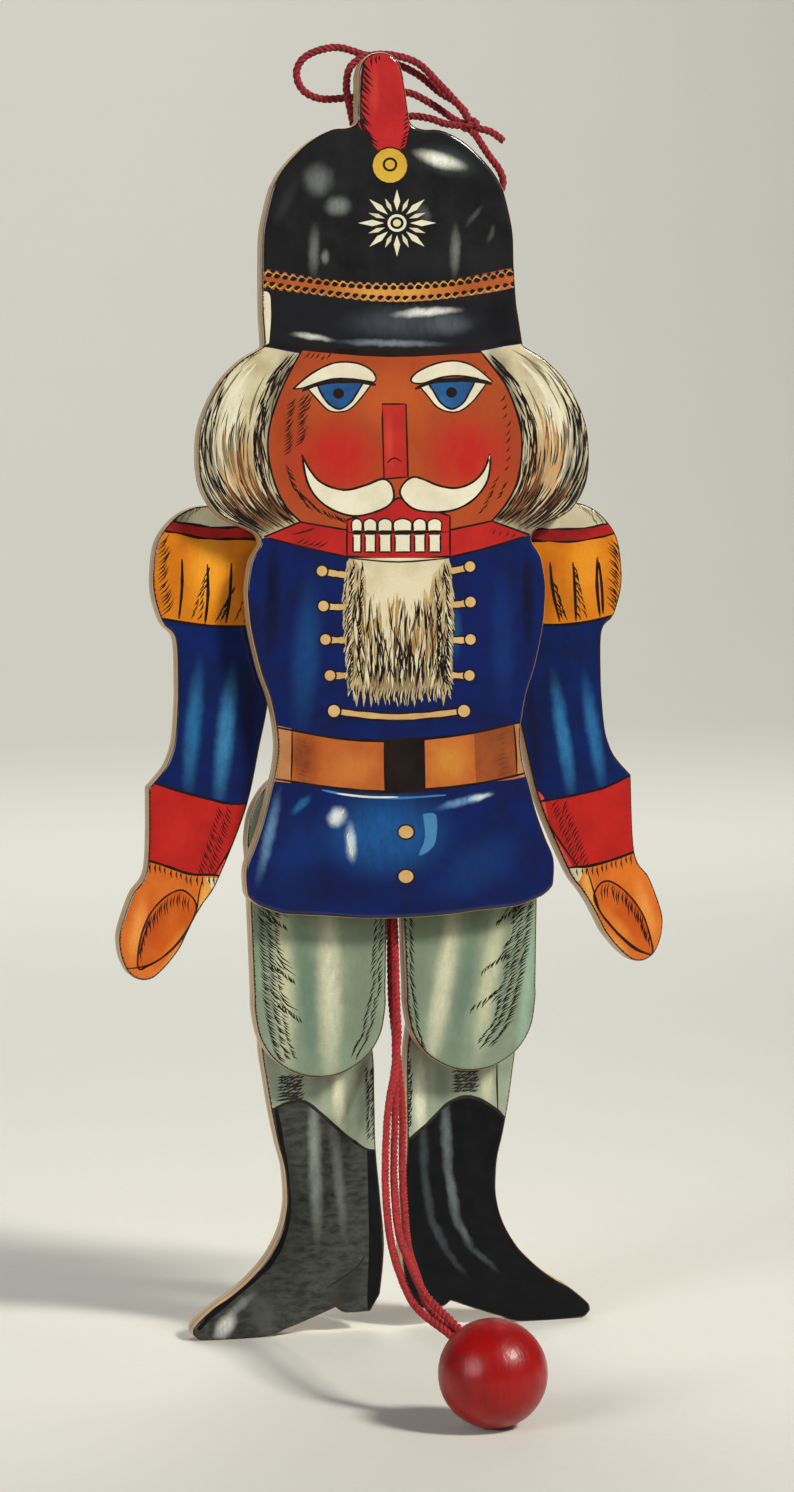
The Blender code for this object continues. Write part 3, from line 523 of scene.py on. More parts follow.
# Two mottled tones of each printed colour, by the plate front that its smudges are placed on
BODY_COLOURS = {
    "ink": ((18, 11, 9), (32, 20, 15)), "cream": ((212, 201, 168), (194, 181, 146)),
    "white": ((222, 215, 188), (208, 200, 172)), "tan": ((196, 152, 100), (172, 126, 78)),
    "olive": ((128, 118, 88), (104, 94, 68)), "gold": ((176, 142, 82), (146, 112, 60)),
    "brown": ((116, 76, 44), (84, 52, 28)), "grey": ((112, 110, 98), (80, 78, 70)),
    "yellow": ((210, 172, 60), (190, 144, 44)), "pale_red": ((214, 84, 74), (194, 62, 56)),
    "iris": ((40, 94, 148), (26, 66, 112)), "pale_blue": ((70, 126, 166), (54, 106, 150)),
    "red": ((180, 36, 30), (156, 26, 22)), "button": ((204, 168, 112), (182, 142, 88)),
    "belt_panel": ((150, 78, 36), (126, 60, 28)), "belt_end": ((184, 126, 78), (160, 104, 60)),
    "plume": ((186, 38, 36), (160, 26, 26)), "hat": ((17, 17, 18), (26, 26, 28)),
    "braid": ((176, 92, 38), (150, 70, 30)), "visor": ((24, 25, 30), (18, 18, 22)),
    "face": ((166, 72, 32), (152, 62, 27)), "nose": ((180, 44, 34), (164, 34, 28)),
    "hair": ((208, 198, 164), (186, 174, 136)), "beard": ((190, 168, 124), (146, 124, 84)),
    "coat": ((8, 26, 84), (5, 17, 62)), "belt": ((182, 98, 42), (160, 80, 34)),
}
LIMB_COLOURS = {
    "stripe": ((166, 30, 26), (122, 18, 16)), "cap": ((206, 198, 168), (190, 182, 150)),
    "epaulette": ((206, 122, 14), (190, 102, 12)), "sleeve": ((5, 28, 86), (3, 18, 62)),
    "cuff": ((178, 32, 26), (160, 24, 20)), "hand": ((206, 108, 36), (190, 90, 26)),
    "palm": ((184, 80, 16), (196, 96, 26)), "trouser": ((130, 144, 120), (114, 128, 106)),
}
SHIN_COLOURS = {
    # left_boot's grey is the print's dark boot lightened by painted reflection: the lacquer's glare painted
    # in as colour.
    "shin": ((150, 160, 136), (132, 144, 120)), "left_boot": ((66, 68, 62), (34, 35, 33)),
    "right_boot": ((7, 7, 9), (14, 14, 18)),
}
# (x, y, half width, half height, lean, colour, strength) in photo pixels and degrees
# Most smudges are the print's own airbrushing; the few marked below are painted highlights and painted
# shade.
SMUDGES = {
    "plume": [(374, 92, 8, 36, 2, (206, 66, 56), 0.5)],
    "hat": [
        (318, 180, 20, 21, 20, (104, 108, 106), 0.9), (338, 206, 17, 13, 0, (124, 130, 122), 0.9),
        (446, 161, 18, 38, 105, (78, 86, 86), 0.6), (440, 160, 10, 33, 105, (232, 234, 216), 1.0),
        (314, 251, 8, 32, 2, (104, 106, 104), 0.8), (325, 257, 5, 10, 0, (150, 150, 142), 0.6),
        (455, 251, 7, 32, 2, (112, 114, 110), 0.85), (424, 213, 13, 9, 60, (88, 92, 88), 0.7),
        (474, 216, 4, 18, 40, (84, 86, 84), 0.6), (491, 234, 4, 13, 20, (86, 88, 84), 0.55),
        (287, 200, 9, 32, 28, (46, 48, 48), 0.7),
    ],
    "braid": [(392, 291, 80, 16, 0, (208, 152, 68), 0.95), (268, 279, 14, 14, 0, (150, 66, 34), 0.7)],
    "visor": [
        (408, 322, 22, 84, 89, (66, 70, 78), 0.85), (448, 325, 13, 30, 90, (88, 94, 102), 0.7),
        (427, 312, 6, 42, 86, (226, 226, 216), 1.0), (313, 337, 4.5, 26, 98, (206, 206, 196), 0.95),
        (392, 343, 5, 66, 91, (124, 132, 138), 0.85), (500, 316, 26, 34, 0, (9, 9, 11), 1.0),
    ],
    "face": [
        (395, 398, 62, 40, 0, (184, 86, 38), 0.75), (286, 430, 24, 84, -4, (150, 56, 25), 0.75),
        (512, 430, 20, 84, 4, (152, 58, 26), 0.7), (339, 458, 62, 54, 0, (178, 30, 26), 1.0),
        (467, 454, 60, 52, 0, (178, 30, 26), 1.0),
    ],
    "nose": [(389, 440, 7, 40, 0, (200, 74, 56), 0.5)],
    "beard": [
        (400, 566, 52, 26, 0, (226, 218, 190), 0.9), (362, 640, 12, 60, 0, (138, 120, 84), 0.6),
        (436, 640, 12, 60, 0, (138, 120, 84), 0.6), (400, 670, 62, 46, 0, (112, 92, 62), 0.85),
    ],
    "coat": [
        (306, 654, 20, 96, 5, (20, 74, 128), 0.6), (272, 600, 11, 84, 3, (5, 9, 28), 0.95),
        (456, 632, 8, 34, 0, (24, 84, 126), 0.65), (503, 640, 18, 92, 0, (16, 50, 112), 0.6),
        (528, 600, 9, 74, 0, (5, 9, 30), 0.95), (386, 834, 84, 56, 0, (22, 80, 138), 0.95),
        (300, 858, 40, 60, 6, (14, 46, 108), 0.6), (478, 866, 66, 34, -30, (14, 56, 112), 0.6),
        (337, 817, 12, 14, 40, (206, 218, 224), 0.95), (351, 842, 8, 25, -4, (188, 206, 218), 0.9),
        (464, 801, 6, 36, 76, (104, 150, 190), 0.85), (480, 797, 4, 16, 78, (214, 220, 220), 0.9),
        # (269, 836) is a painted highlight: the lacquer's reflection along the skirt's left edge.
        (301, 805, 6, 17, 52, (36, 100, 144), 0.8), (269, 836, 8, 56, 14, (96, 136, 174), 0.8),
        (318, 880, 52, 30, 0, (5, 17, 58), 0.7), (346, 716, 40, 12, 8, (5, 12, 40), 0.7),
    ],
    "belt": [
        (304, 757, 24, 40, 0, (118, 48, 20), 0.9), (352, 768, 34, 24, 0, (192, 114, 50), 0.75),
        (449, 762, 32, 34, 0, (194, 126, 48), 0.95),
    ],
    "cap": [(172, 517, 26, 26, 0, (98, 102, 80), 0.9), (612, 512, 24, 26, 0, (112, 118, 96), 0.85)],
    "epaulette": [
        # (252, 590) and (546, 590), darker on each epaulette's side next to the body, are painted shade.
        (208, 570, 30, 56, 0, (230, 158, 40), 0.85), (252, 590, 17, 60, 0, (160, 80, 10), 0.8),
        (586, 566, 28, 56, 0, (222, 144, 34), 0.85), (546, 590, 14, 60, 0, (166, 84, 10), 0.8),
    ],
    "sleeve": [
        (193, 730, 12, 84, 6, (38, 102, 148), 0.9), (225, 738, 13, 84, 7, (56, 124, 168), 0.9),
        (249, 720, 12, 92, 5, (14, 10, 48), 0.9), (168, 700, 9, 84, 2, (3, 12, 44), 0.8),
        (563, 736, 11, 80, -8, (46, 114, 164), 0.9), (594, 734, 11, 76, -9, (38, 102, 154), 0.9),
        (533, 730, 9, 84, -6, (14, 10, 46), 0.85),
    ],
    "cuff": [(178, 836, 22, 32, 0, (188, 42, 34), 0.5)],
    "hand": [
        (138, 930, 12, 46, 10, (226, 150, 70), 0.75), (204, 902, 10, 42, 12, (226, 172, 80), 0.8),
        (178, 958, 12, 44, 42, (226, 164, 76), 0.75), (126, 900, 10, 44, 16, (178, 72, 24), 0.65),
        (646, 912, 12, 46, -14, (224, 150, 68), 0.75), (589, 890, 9, 38, -14, (226, 172, 80), 0.8),
        (611, 944, 12, 44, -42, (226, 164, 76), 0.75), (660, 896, 9, 44, -12, (182, 74, 26), 0.65),
    ],
    "palm": [
        (156, 926, 14, 34, 26, (172, 66, 18), 0.75), (178, 944, 12, 30, 40, (212, 124, 44), 0.7),
        (630, 910, 13, 34, -30, (180, 72, 20), 0.7), (618, 926, 10, 34, -40, (216, 132, 46), 0.7),
    ],
    "trouser": [
        (246, 990, 9, 120, 2, (142, 174, 150), 0.95), (284, 985, 16, 124, -1, (190, 188, 154), 0.9),
        (307, 995, 13, 124, -3, (88, 112, 96), 0.85), (330, 985, 17, 130, 0, (202, 200, 170), 0.9),
        (361, 990, 20, 124, 3, (106, 120, 98), 0.8), (416, 985, 22, 124, 8, (106, 120, 98), 0.85),
        (443, 985, 15, 130, 10, (200, 198, 168), 0.9), (464, 990, 13, 124, 10, (90, 112, 96), 0.85),
        (490, 975, 15, 116, 10, (190, 190, 156), 0.9), (527, 985, 9, 110, 6, (140, 170, 148), 0.9),
    ],
    "shin": [
        (284, 1080, 8, 48, 0, (156, 172, 150), 0.9), (316, 1086, 9, 40, 0, (118, 132, 114), 0.75),
        (339, 1100, 10, 58, 0, (216, 214, 184), 1.0), (364, 1104, 11, 60, 0, (112, 124, 104), 0.8),
        (420, 1100, 10, 58, 0, (212, 210, 182), 1.0), (442, 1082, 11, 44, 0, (112, 128, 110), 0.85),
        (487, 1080, 10, 48, 0, (190, 192, 160), 0.95),
    ],
    "left_boot": [
        (315, 1164, 10, 100, -1, (140, 148, 138), 0.9), (338, 1174, 8, 82, -5, (108, 114, 108), 0.85),
        # (262, 1314), (238, 1308) and (225, 1327) are a painted highlight: the lacquer's sheen on the toe.
        (288, 1186, 14, 74, 0, (40, 42, 40), 0.7), (262, 1314, 38, 20, 70, (84, 88, 82), 0.7),
        (238, 1308, 7, 30, 52, (140, 144, 138), 0.75), (225, 1327, 12, 20, 36, (222, 222, 214), 0.95),
        (346, 1290, 26, 34, 30, (36, 36, 34), 0.7),
    ],
    "right_boot": [
        (446.5, 1138, 8, 62, -2, (98, 108, 108), 0.85), (452, 1192, 7.5, 44, -9, (100, 110, 110), 0.85),
        (462, 1229, 6, 32, -28, (92, 100, 100), 0.8), (482, 1257, 5, 30, -48, (70, 76, 78), 0.75),
        (424, 1152, 6.5, 50, -1, (60, 66, 68), 0.8), (428, 1196, 6.5, 44, -9, (64, 70, 72), 0.8),
        (438, 1233, 6.5, 34, -24, (66, 72, 74), 0.8), (454, 1260, 5, 26, -38, (54, 58, 60), 0.75),
    ],
}
PAINT_SETTINGS = {
    "face": {"patch": 90.0},
    "hair": {"patch": 260.0},
    "beard": {"patch": 520.0},
    "left_boot": {"patch": 700.0, "brush": (0.5, 1.0, 1.3), "coat": 0.25},
    "right_boot": {"patch": 260.0, "coat": 0.1},
}


def lock_smudges():
    """The hair's tan, pale and dark parts, the same on both sides of the face."""
    out = []
    for side, x, edge in ((1, 245, 205), (-1, 543, 580)):
        out += [
            (x, 470, 22, 60, 10 * side, (158, 122, 80), 0.8),
            (x + 12 * side, 366, 30, 20, 30 * side, (170, 156, 120), 0.8),
            (x + 36 * side, 400, 20, 78, 14 * side, (76, 62, 48), 0.95),
            (x + 40 * side, 480, 22, 62, -14 * side, (76, 58, 44), 0.95),
            (x + 20 * side, 520, 46, 26, -34 * side, (92, 74, 54), 0.95),
            (edge + 6 * side, 466, 22, 56, -8 * side, (112, 104, 88), 0.85),
            (x - 12 * side, 416, 13, 60, 8 * side, (228, 222, 196), 0.9),
        ]
    return out


SMUDGES["hair"] = lock_smudges()


def make_finishes():
    for front, colours in (
        (BODY_FRONT, BODY_COLOURS),
        (LIMB_FRONT, LIMB_COLOURS),
        (SHIN_FRONT, SHIN_COLOURS),
    ):
        for name, tones in colours.items():
            paint(name, *tones, front, SMUDGES.get(name, ()), **PAINT_SETTINGS.get(name, {}))
    plywood_side("plywood_edge", rgb(204, 170, 126), rgb(172, 136, 92))
    plywood_back("plywood_face", rgb(206, 172, 124), rgb(182, 144, 96))
    turned_wood("turned_beech", rgb(204, 164, 116), rgb(170, 124, 78))
    fibre_board("fibre_washer", rgb(120, 78, 52), rgb(84, 50, 32))
    metal("brass_tack", rgb(206, 166, 90), rgb(150, 108, 52), 0.25)
    metal("steel_wire", rgb(176, 176, 180), rgb(120, 118, 116), 0.25)
    cord_yarn("red_pull_cord", rgb(178, 14, 20), rgb(110, 6, 10), rgb(204, 48, 48))
    cord_yarn("dark_red_hanging_cord", rgb(150, 5, 24), rgb(96, 3, 14), rgb(184, 26, 46))
    ball_paint("red_painted_ball", rgb(152, 3, 4), rgb(112, 1, 2))
    studio_paper("studio_paper", rgb(214, 213, 203))


# Plates


def add_mesh(name, verts, faces, paints, indices=None):
    """A mesh object in the part's frame, smooth shaded, with its paints in order."""
    mesh = bpy.data.meshes.new(name)
    mesh.from_pydata([tuple(v) for v in verts], [], faces)
    for word in paints:
        mesh.materials.append(PAINTS[word])
    if indices is not None:
        mesh.polygons.foreach_set("material_index", indices)
    mesh.polygons.foreach_set("use_smooth", [True] * len(mesh.polygons))
    tidy = bmesh.new()
    tidy.from_mesh(mesh)
    bmesh.ops.delete(tidy, geom=[v for v in tidy.verts if not v.link_faces], context="VERTS")
    bmesh.ops.remove_doubles(tidy, verts=tidy.verts, dist=WELD)
    tidy.to_mesh(mesh)
    tidy.free()
    obj = bpy.data.objects.new(name, mesh)
    bpy.context.scene.collection.objects.link(obj)
    return obj


def put(obj, node, body):
    """Sets a piece on its body, in place of its CAD node."""
    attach(obj, body)
    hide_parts(node)


def cad_outline(node):
    """The plate's outline, anticlockwise, from the ring of CAD points where the rounded front edge ends."""
    mesh = NODES[node].data
    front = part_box(node)[0].y + LEVEL
    level = min(v.co.y for v in mesh.vertices if v.co.y > front)
    ring = {}
    for edge in mesh.edges:
        ends = [mesh.vertices[i].co for i in edge.vertices]
        if max(abs(v.y - level) for v in ends) > LEVEL:
            continue
        a, b = [(round(v.x, 6), round(v.z, 6)) for v in ends]
        if a != b:
            ring.setdefault(a, set()).add(b)
            ring.setdefault(b, set()).add(a)
    start = min(ring)
    loop = [start]
    last = None
    while True:
        ahead = [p for p in ring[loop[-1]] if p != last]
        last = loop[-1]
        if not ahead or ahead[0] == start:
            break
        loop.append(ahead[0])
    if signed_area(loop) < 0.0:
        loop.reverse()
    return loop


def refined(loop):
    """The outline as a smooth curve, with its real corners and its long straight sides kept."""
    points = [np.array(p) for p in loop]
    marked = []
    for i, p in enumerate(points):
        a = p - points[i - 1]
        b = points[(i + 1) % len(points)] - p
        turn = degrees(np.arccos(np.clip(a @ b / (np.linalg.norm(a) * np.linalg.norm(b)), -1.0, 1.0)))
        marked.append(p)
        if turn > CORNER_TURN:
            marked.append(p)
        after = points[(i + 2) % len(points)] - points[(i + 1) % len(points)]
        parts = ceil(np.linalg.norm(b) / min(np.linalg.norm(a), np.linalg.norm(after)))
        if parts > STRAIGHT_PARTS:
            marked += [p + b * k / parts for k in range(1, parts)]
    fine = np.array(smooth(marked, True, 8))
    closed = np.vstack([fine, fine[:1]])
    corners = [m for m, n in zip(marked, marked[1:]) if np.allclose(m, n)]
    even = along(closed, ceil(line_length(closed) / OUTLINE_STEP))[:-1]
    for corner_point in corners:
        nearest = int(np.argmin(np.linalg.norm(even - corner_point, axis=1)))
        even[nearest] = corner_point
    return even


def inward(loop):
    """Unit normals that point into an anticlockwise loop."""
    slope = np.roll(loop, -1, axis=0) - np.roll(loop, 1, axis=0)
    slope /= np.linalg.norm(slope, axis=1)[:, None] + 1e-12
    return np.stack([-slope[:, 1], slope[:, 0]], axis=1)


def far_from(points, loop):
    """Distance of each point from a closed loop."""
    ends = np.roll(loop, -1, axis=0)
    run = ends - loop
    size = (run**2).sum(axis=1) + 1e-18
    out = np.empty(len(points))
    for i in range(0, len(points), BLOCK):
        block = points[i : i + BLOCK, None, :] - loop[None]
        t = np.clip((block * run[None]).sum(axis=2) / size, 0.0, 1.0)
        out[i : i + BLOCK] = np.sqrt(((block - t[..., None] * run[None]) ** 2).sum(axis=2).min(axis=1))
    return out


def within(points, loop):
    """True for each point that lies inside a closed loop."""
    ends = np.roll(loop, -1, axis=0)
    rise = ends[:, 1] - loop[:, 1]
    rise[np.abs(rise) < 1e-15] = 1e-15
    out = np.empty(len(points), bool)
    for i in range(0, len(points), BLOCK):
        x = points[i : i + BLOCK, 0, None]
        y = points[i : i + BLOCK, 1, None]
        spans = (loop[None, :, 1] > y) != (ends[None, :, 1] > y)
        meets = loop[None, :, 0] + (y - loop[None, :, 1]) * (ends - loop)[None, :, 0] / rise[None]
        out[i : i + BLOCK] = (spans & (x < meets)).sum(axis=1) % 2 == 1
    return out


def circle(x, z, radius):
    turns = [2 * pi * i / BORE_SIDES for i in range(BORE_SIDES)]
    return [(x + radius * cos(a), z + radius * sin(a)) for a in turns]


def triangles(loops, shapes):
    """Splits the plane along loops and shapes: points, triangles and each triangle's shapes."""
    verts = []
    edges = []
    faces = []
    for loop in loops:
        first = len(verts)
        verts += [Vector((p[0] / MM, p[1] / MM)) for p in loop]
        edges += [(first + i, first + (i + 1) % len(loop)) for i in range(len(loop))]
    for shape in shapes:
        first = len(verts)
        verts += [Vector((p[0] / MM, p[1] / MM)) for p in shape]
        faces.append(list(range(first, first + len(shape))))
    points, _, cells, _, _, origin = delaunay_2d_cdt(verts, edges, faces, 0, 1e-5, True)
    points = np.array([(p.x * MM, p.y * MM) for p in points])
    cells = [cell if signed_area(points[cell]) > 0.0 else cell[::-1] for cell in map(list, cells)]
    return points, cells, origin


def solid_cells(points, cells, outline, holes):
    """Which triangles lie inside the outline and in none of the holes."""
    centres = points[np.array(cells)].mean(axis=1)
    good = within(centres, np.asarray(outline))
    for hole in holes:
        good &= ~within(centres, np.array(hole))
    return good


def rim_loops(cells):
    """The closed loops of edges that only one triangle has."""
    seen = set()
    for cell in cells:
        for i in range(3):
            seen.add((cell[i], cell[(i + 1) % 3]))
    follow = {a: b for a, b in seen if (b, a) not in seen}
    loops = []
    while follow:
        start, place = follow.popitem()
        loop = [start]
        while place != start and place in follow:
            loop.append(place)
            place = follow.pop(place)
        loops.append(loop)
    return loops


class Shell:
    """A plate's mesh in the making: points, faces and the paint of each face."""

    def __init__(self):
        self.verts = []
        self.faces = []
        self.paints = []

    def points(self, places, depth):
        """Adds points at one depth and returns their numbers."""
        first = len(self.verts)
        self.verts += [(p[0], depth, p[1]) for p in places]
        return list(range(first, len(self.verts)))

    def face(self, corners, paint_name):
        self.faces.append(corners)
        self.paints.append(paint_name)

    def wall(self, near, far):
        """A band of layered side between two loops of points."""
        for i in range(len(near)):
            j = (i + 1) % len(near)
            self.face([near[i], far[i], far[j], near[j]], "plywood_edge")


def lay_front(shell, outline, front, base, picture, bores):
    """The printed front, which rolls over the rounded edge. Returns the points of its rim."""
    normal = inward(outline)
    rings = [outline + normal * (ROUNDING * share) for share in ROLL_SHARES]
    through = [circle(x, z, r) for x, z, r, depth in bores if depth is None]
    shapes = [list(outline), *through, *(places for _, places in picture.shapes)]
    points, cells, origin = triangles(rings, shapes)
    gap = far_from(points, outline)
    drop = np.clip(ROUNDING - gap, 0.0, ROUNDING)
    depth_y = front + ROUNDING - np.sqrt(np.clip(ROUNDING**2 - drop**2, 0.0, None))
    shell.verts += [(p[0], y, p[1]) for p, y in zip(points, depth_y)]
    for cell, ids, good in zip(cells, origin, solid_cells(points, cells, outline, through)):
        if not good:
            continue
        top = max(ids, default=-1) - 1 - len(through)
        paint_name = base if top < 0 else picture.shapes[top][0]
        from_edge = gap[cell].mean()
        if from_edge < INK_RIM:
            paint_name = "ink"
        if from_edge < BARE_RIM:
            paint_name = "plywood_edge"
        shell.face(cell, paint_name)
    return max(rim_loops(shell.faces), key=len)


def lay_side(shell, rim, back):
    """The layered side, from the front's rim round the back edge. Returns the back's outline."""
    edge = np.array([(shell.verts[i][0], shell.verts[i][2]) for i in rim])
    inner = inward(edge)
    for share, rise in ((0.0, 1.0), (0.3, 0.3), (1.0, 0.0)):
        ring = edge + inner * (share * BACK_ROUNDING)
        below = shell.points(ring, back - rise * BACK_ROUNDING)
        shell.wall(rim, below)
        rim = below
    return ring


def lay_back(shell, ring, front, back, bores):
    """The bare back, with the bores that start there."""
    cut = [circle(x, z, r) for x, z, r, _ in bores]
    points, cells, _ = triangles([ring, *cut], [])
    numbers = shell.points(points, back)
    for cell, good in zip(cells, solid_cells(points, cells, ring, cut)):
        if good:
            shell.face([numbers[i] for i in reversed(cell)], "plywood_face")
    for (_, _, _, depth), loop in zip(bores, cut):
        start = shell.points(loop, back)
        end = shell.points(loop, front if depth is None else back - depth)
        shell.wall(start, end)
        if depth is not None:
            shell.face(end[::-1], "plywood_edge")


def add_plate(node, body, base, picture, bores):
    """One printed plate: painted front that rolls over a rounded edge, layered side, bare back, bores.

    bores holds (x, z, radius, depth from the back), with no depth for a bore that goes through."""
    low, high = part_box(node)
    shell = Shell()
    rim = lay_front(shell, refined(cad_outline(node)), low.y, base, picture, bores)
    ring = lay_side(shell, rim, high.y)
    lay_back(shell, ring, low.y, high.y, bores)
    paints = list(dict.fromkeys([base, "plywood_edge", "plywood_face", *shell.paints]))
    indices = [paints.index(paint_name) for paint_name in shell.paints]
    put(add_mesh(node + "_print", shell.verts, shell.faces, paints, indices), node, body)


def middle(node):
    """X and Z of a node's middle."""
    low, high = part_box(node)
    return 0.5 * (low.x + high.x), 0.5 * (low.z + high.z)


# The printed pictures


HAT = [
    *sharp((200, 60), (600, 60), (600, 356)), (521, 344), (455, 354), (388, 358), (320, 355), (258, 346),
    *sharp((200, 350)),
]
PLUME = [
    *sharp((340, 30), (425, 30)), (416, 100), (412, 122), (408, 138), (404, 149), (389, 153), (374, 149),
    (366, 136), (358, 123), (354, 100),
]

PLUME_LEFT = [(364, 60), (361, 90), (360, 112), (362, 126), (368, 139), (376, 150)]
PLUME_FOOT = [(374, 149), (389, 153), (404, 149), (408, 138), (411, 122), (410, 106)]
# A row of short strokes is (path, count, length, lean, width) here and below
PLUME_HATCHES = (
    ([(362, 60), (360, 100), (361, 120), (369, 141)], 14, 16, -50, 2.6),
    ([(372, 56), (380, 54)], 3, 9, -92, 2.0),
    ([(411, 112), (410, 130), (405, 148)], 9, 9, 215, 2.0),
)
BADGE = (397.0, 223.0)
COCKADE = (390, 165.5)
COCKADE_EYE = (390, 164.5)


def plume_and_hat(p):
    p.fill("hat", HAT)
    p.fill("plume", PLUME)
    p.line(PLUME_LEFT, 3.0)
    p.line(PLUME_FOOT, 1.7)
    p.hatches(PLUME_HATCHES)
    sunburst(p, *BADGE)
    p.spot("yellow", *COCKADE, 17.3, ink=1.6)
    p.spot("ink", *COCKADE_EYE, 7.4, 7.2)
    p.spot("yellow", *COCKADE_EYE, 5.0, 4.8)
    visor(p)
    braid(p)



def sunburst(p, x, y):
    """A plain badge: long and short rays round a small disc."""
    rays = 16
    for i in range(rays):
        a = 2.0 * pi * i / rays
        reach = (39.0, 31.0)[i % 2]
        tip = (x + reach * cos(a), y + 0.86 * reach * sin(a))
        foot = (x + 13.0 * cos(a), y + 12.0 * sin(a))
        half = (3.2, 2.2)[i % 2]
        side = (-half * sin(a), half * cos(a))
        waist = (0.55 * foot[0] + 0.45 * tip[0], 0.55 * foot[1] + 0.45 * tip[1])
        left = (waist[0] + side[0], waist[1] + side[1])
        right = (waist[0] - side[0], waist[1] - side[1])
        p.lay("white" if i % 2 == 0 else "cream", [foot, left, tip, right])
    p.spot("white", x, y, 9.5, 8.8)
    p.spot("hat", x, y, 6.8, 6.2)
    p.spot("cream", x, y, 4.0, 3.6)


VISOR = [
    *sharp((262, 284)), (325, 296), (388, 301), (450, 297), *sharp((510, 286), (516, 338)), (455, 346),
    (388, 350), (320, 347), *sharp((266, 340)),
]
VISOR_END = [*sharp((263, 291)), (270, 295), (271, 318), *sharp((269, 343)), (263, 341)]
VISOR_SIDE = [(271, 294), (272, 318), (270, 344)]
VISOR_FOOT = [(258, 345), (320, 350), (388, 353), (455, 350), (521, 341)]


def visor(p):
    p.fill("visor", VISOR)
    p.fill("white", VISOR_END)
    p.line(VISOR_SIDE, 2.0)
    p.line(VISOR_FOOT, 5.0)


BRAID_TOP = [(252, 268), (325, 279), (388, 283), (450, 280), (518, 268)]
BRAID_FOOT = [(252, 285), (325, 296), (388, 302), (450, 298), (518, 286)]


def braid(p):
    """A gold chain across the hat, with a row of dark gaps along each of its edges."""
    p.fill("braid", BRAID_TOP + BRAID_FOOT[::-1])
    links = 33
    top = along(smooth(BRAID_TOP, False), links)
    foot = along(smooth(BRAID_FOOT, False), links)
    step = 0.5 * (top[1] - top[0])
    for i in range(links):
        for shift, share, rim in ((0.0, 0.24, -0.02), (1.0, 0.76, 1.02)):
            x, y = top[i] + (foot[i] - top[i]) * share + step * shift
            wide = p.chance.uniform(3.0, 3.8)
            p.spot("ink", x, y, wide, 2.6, steps=8)
            arc = [(x - 4.2, y + 1.0), (x - 1.0, y + (4.0 * shift - 2.0) * 1.7), (x + 4.0, y - 1.0)]
            p.line(arc, p.chance.uniform(0.9, 1.6), p.chance.choice(("yellow", "tan", "belt_end")), steps=2)
            x, y = top[i] + (foot[i] - top[i]) * rim + step * (shift + 1.0)
            p.spot("hat", x, y, 2.6, 2.3, steps=8)


HAIR = {
    "left": (
        [(262, 346), (230, 362), (203, 399), (194, 440), (202, 480), (224, 511), (264, 535)],
        [(302, 352), (283, 382), (270, 420), (268, 452), (274, 484), (287, 509), (304, 524)],
    ),
    "right": (
        [(520, 345), (555, 363), (582, 401), (589, 440), (581, 480), (560, 510), (527, 532)],
        [(481, 355), (505, 386), (520, 420), (523, 450), (518, 484), (506, 506), (490, 522)],
    ),
}


HAIR_AREA = [
    *sharp((180, 340)), (258, 346), (320, 355), (455, 354), (521, 344), *sharp((605, 340), (600, 538)),
    (530, 536), (490, 524), (395, 532), (304, 524), (264, 538), (185, 538),
]
# Hair strokes as strands() takes them: count, paint, width, sides, rows and size
HAIR_STROKES = (
    (16, "tan", 3.0, (0.3, 0.75), (0.3, 0.9), (0.15, 0.35)),
    (14, "olive", 2.4, (0.1, 0.7), (0.0, 0.8), (0.12, 0.3)),
    (24, "brown", 2.0, (0.55, 0.95), (0.3, 1.0), (0.12, 0.3)),
    (8, "white", 2.6, (0.2, 0.5), (0.05, 0.6), (0.2, 0.4)),
    (14, "cream", 2.0, (0.0, 0.35), (0.1, 0.8), (0.12, 0.3)),
    (30, "grey", 1.6, (-0.1, 0.3), (0.1, 1.0), (0.08, 0.25)),
    (70, "ink", 1.4, (-0.1, 0.26), (0.25, 1.0), (0.08, 0.22)),
    (96, "ink", 1.4, (0.78, 1.0), (0.0, 1.0), (0.06, 0.18)),
    (30, "brown", 2.0, (0.1, 0.9), (0.66, 1.0), (0.08, 0.2)),
    (50, "ink", 1.1, (0.1, 0.9), (0.7, 1.0), (0.06, 0.16)),
    (16, "ink", 1.0, (0.3, 0.75), (0.3, 0.75), (0.06, 0.14)),
)


def hair(p):
    p.fill("hair", HAIR_AREA)
    for outer, inner in HAIR.values():
        for stroke in HAIR_STROKES:
            p.strands(outer, inner, *stroke)


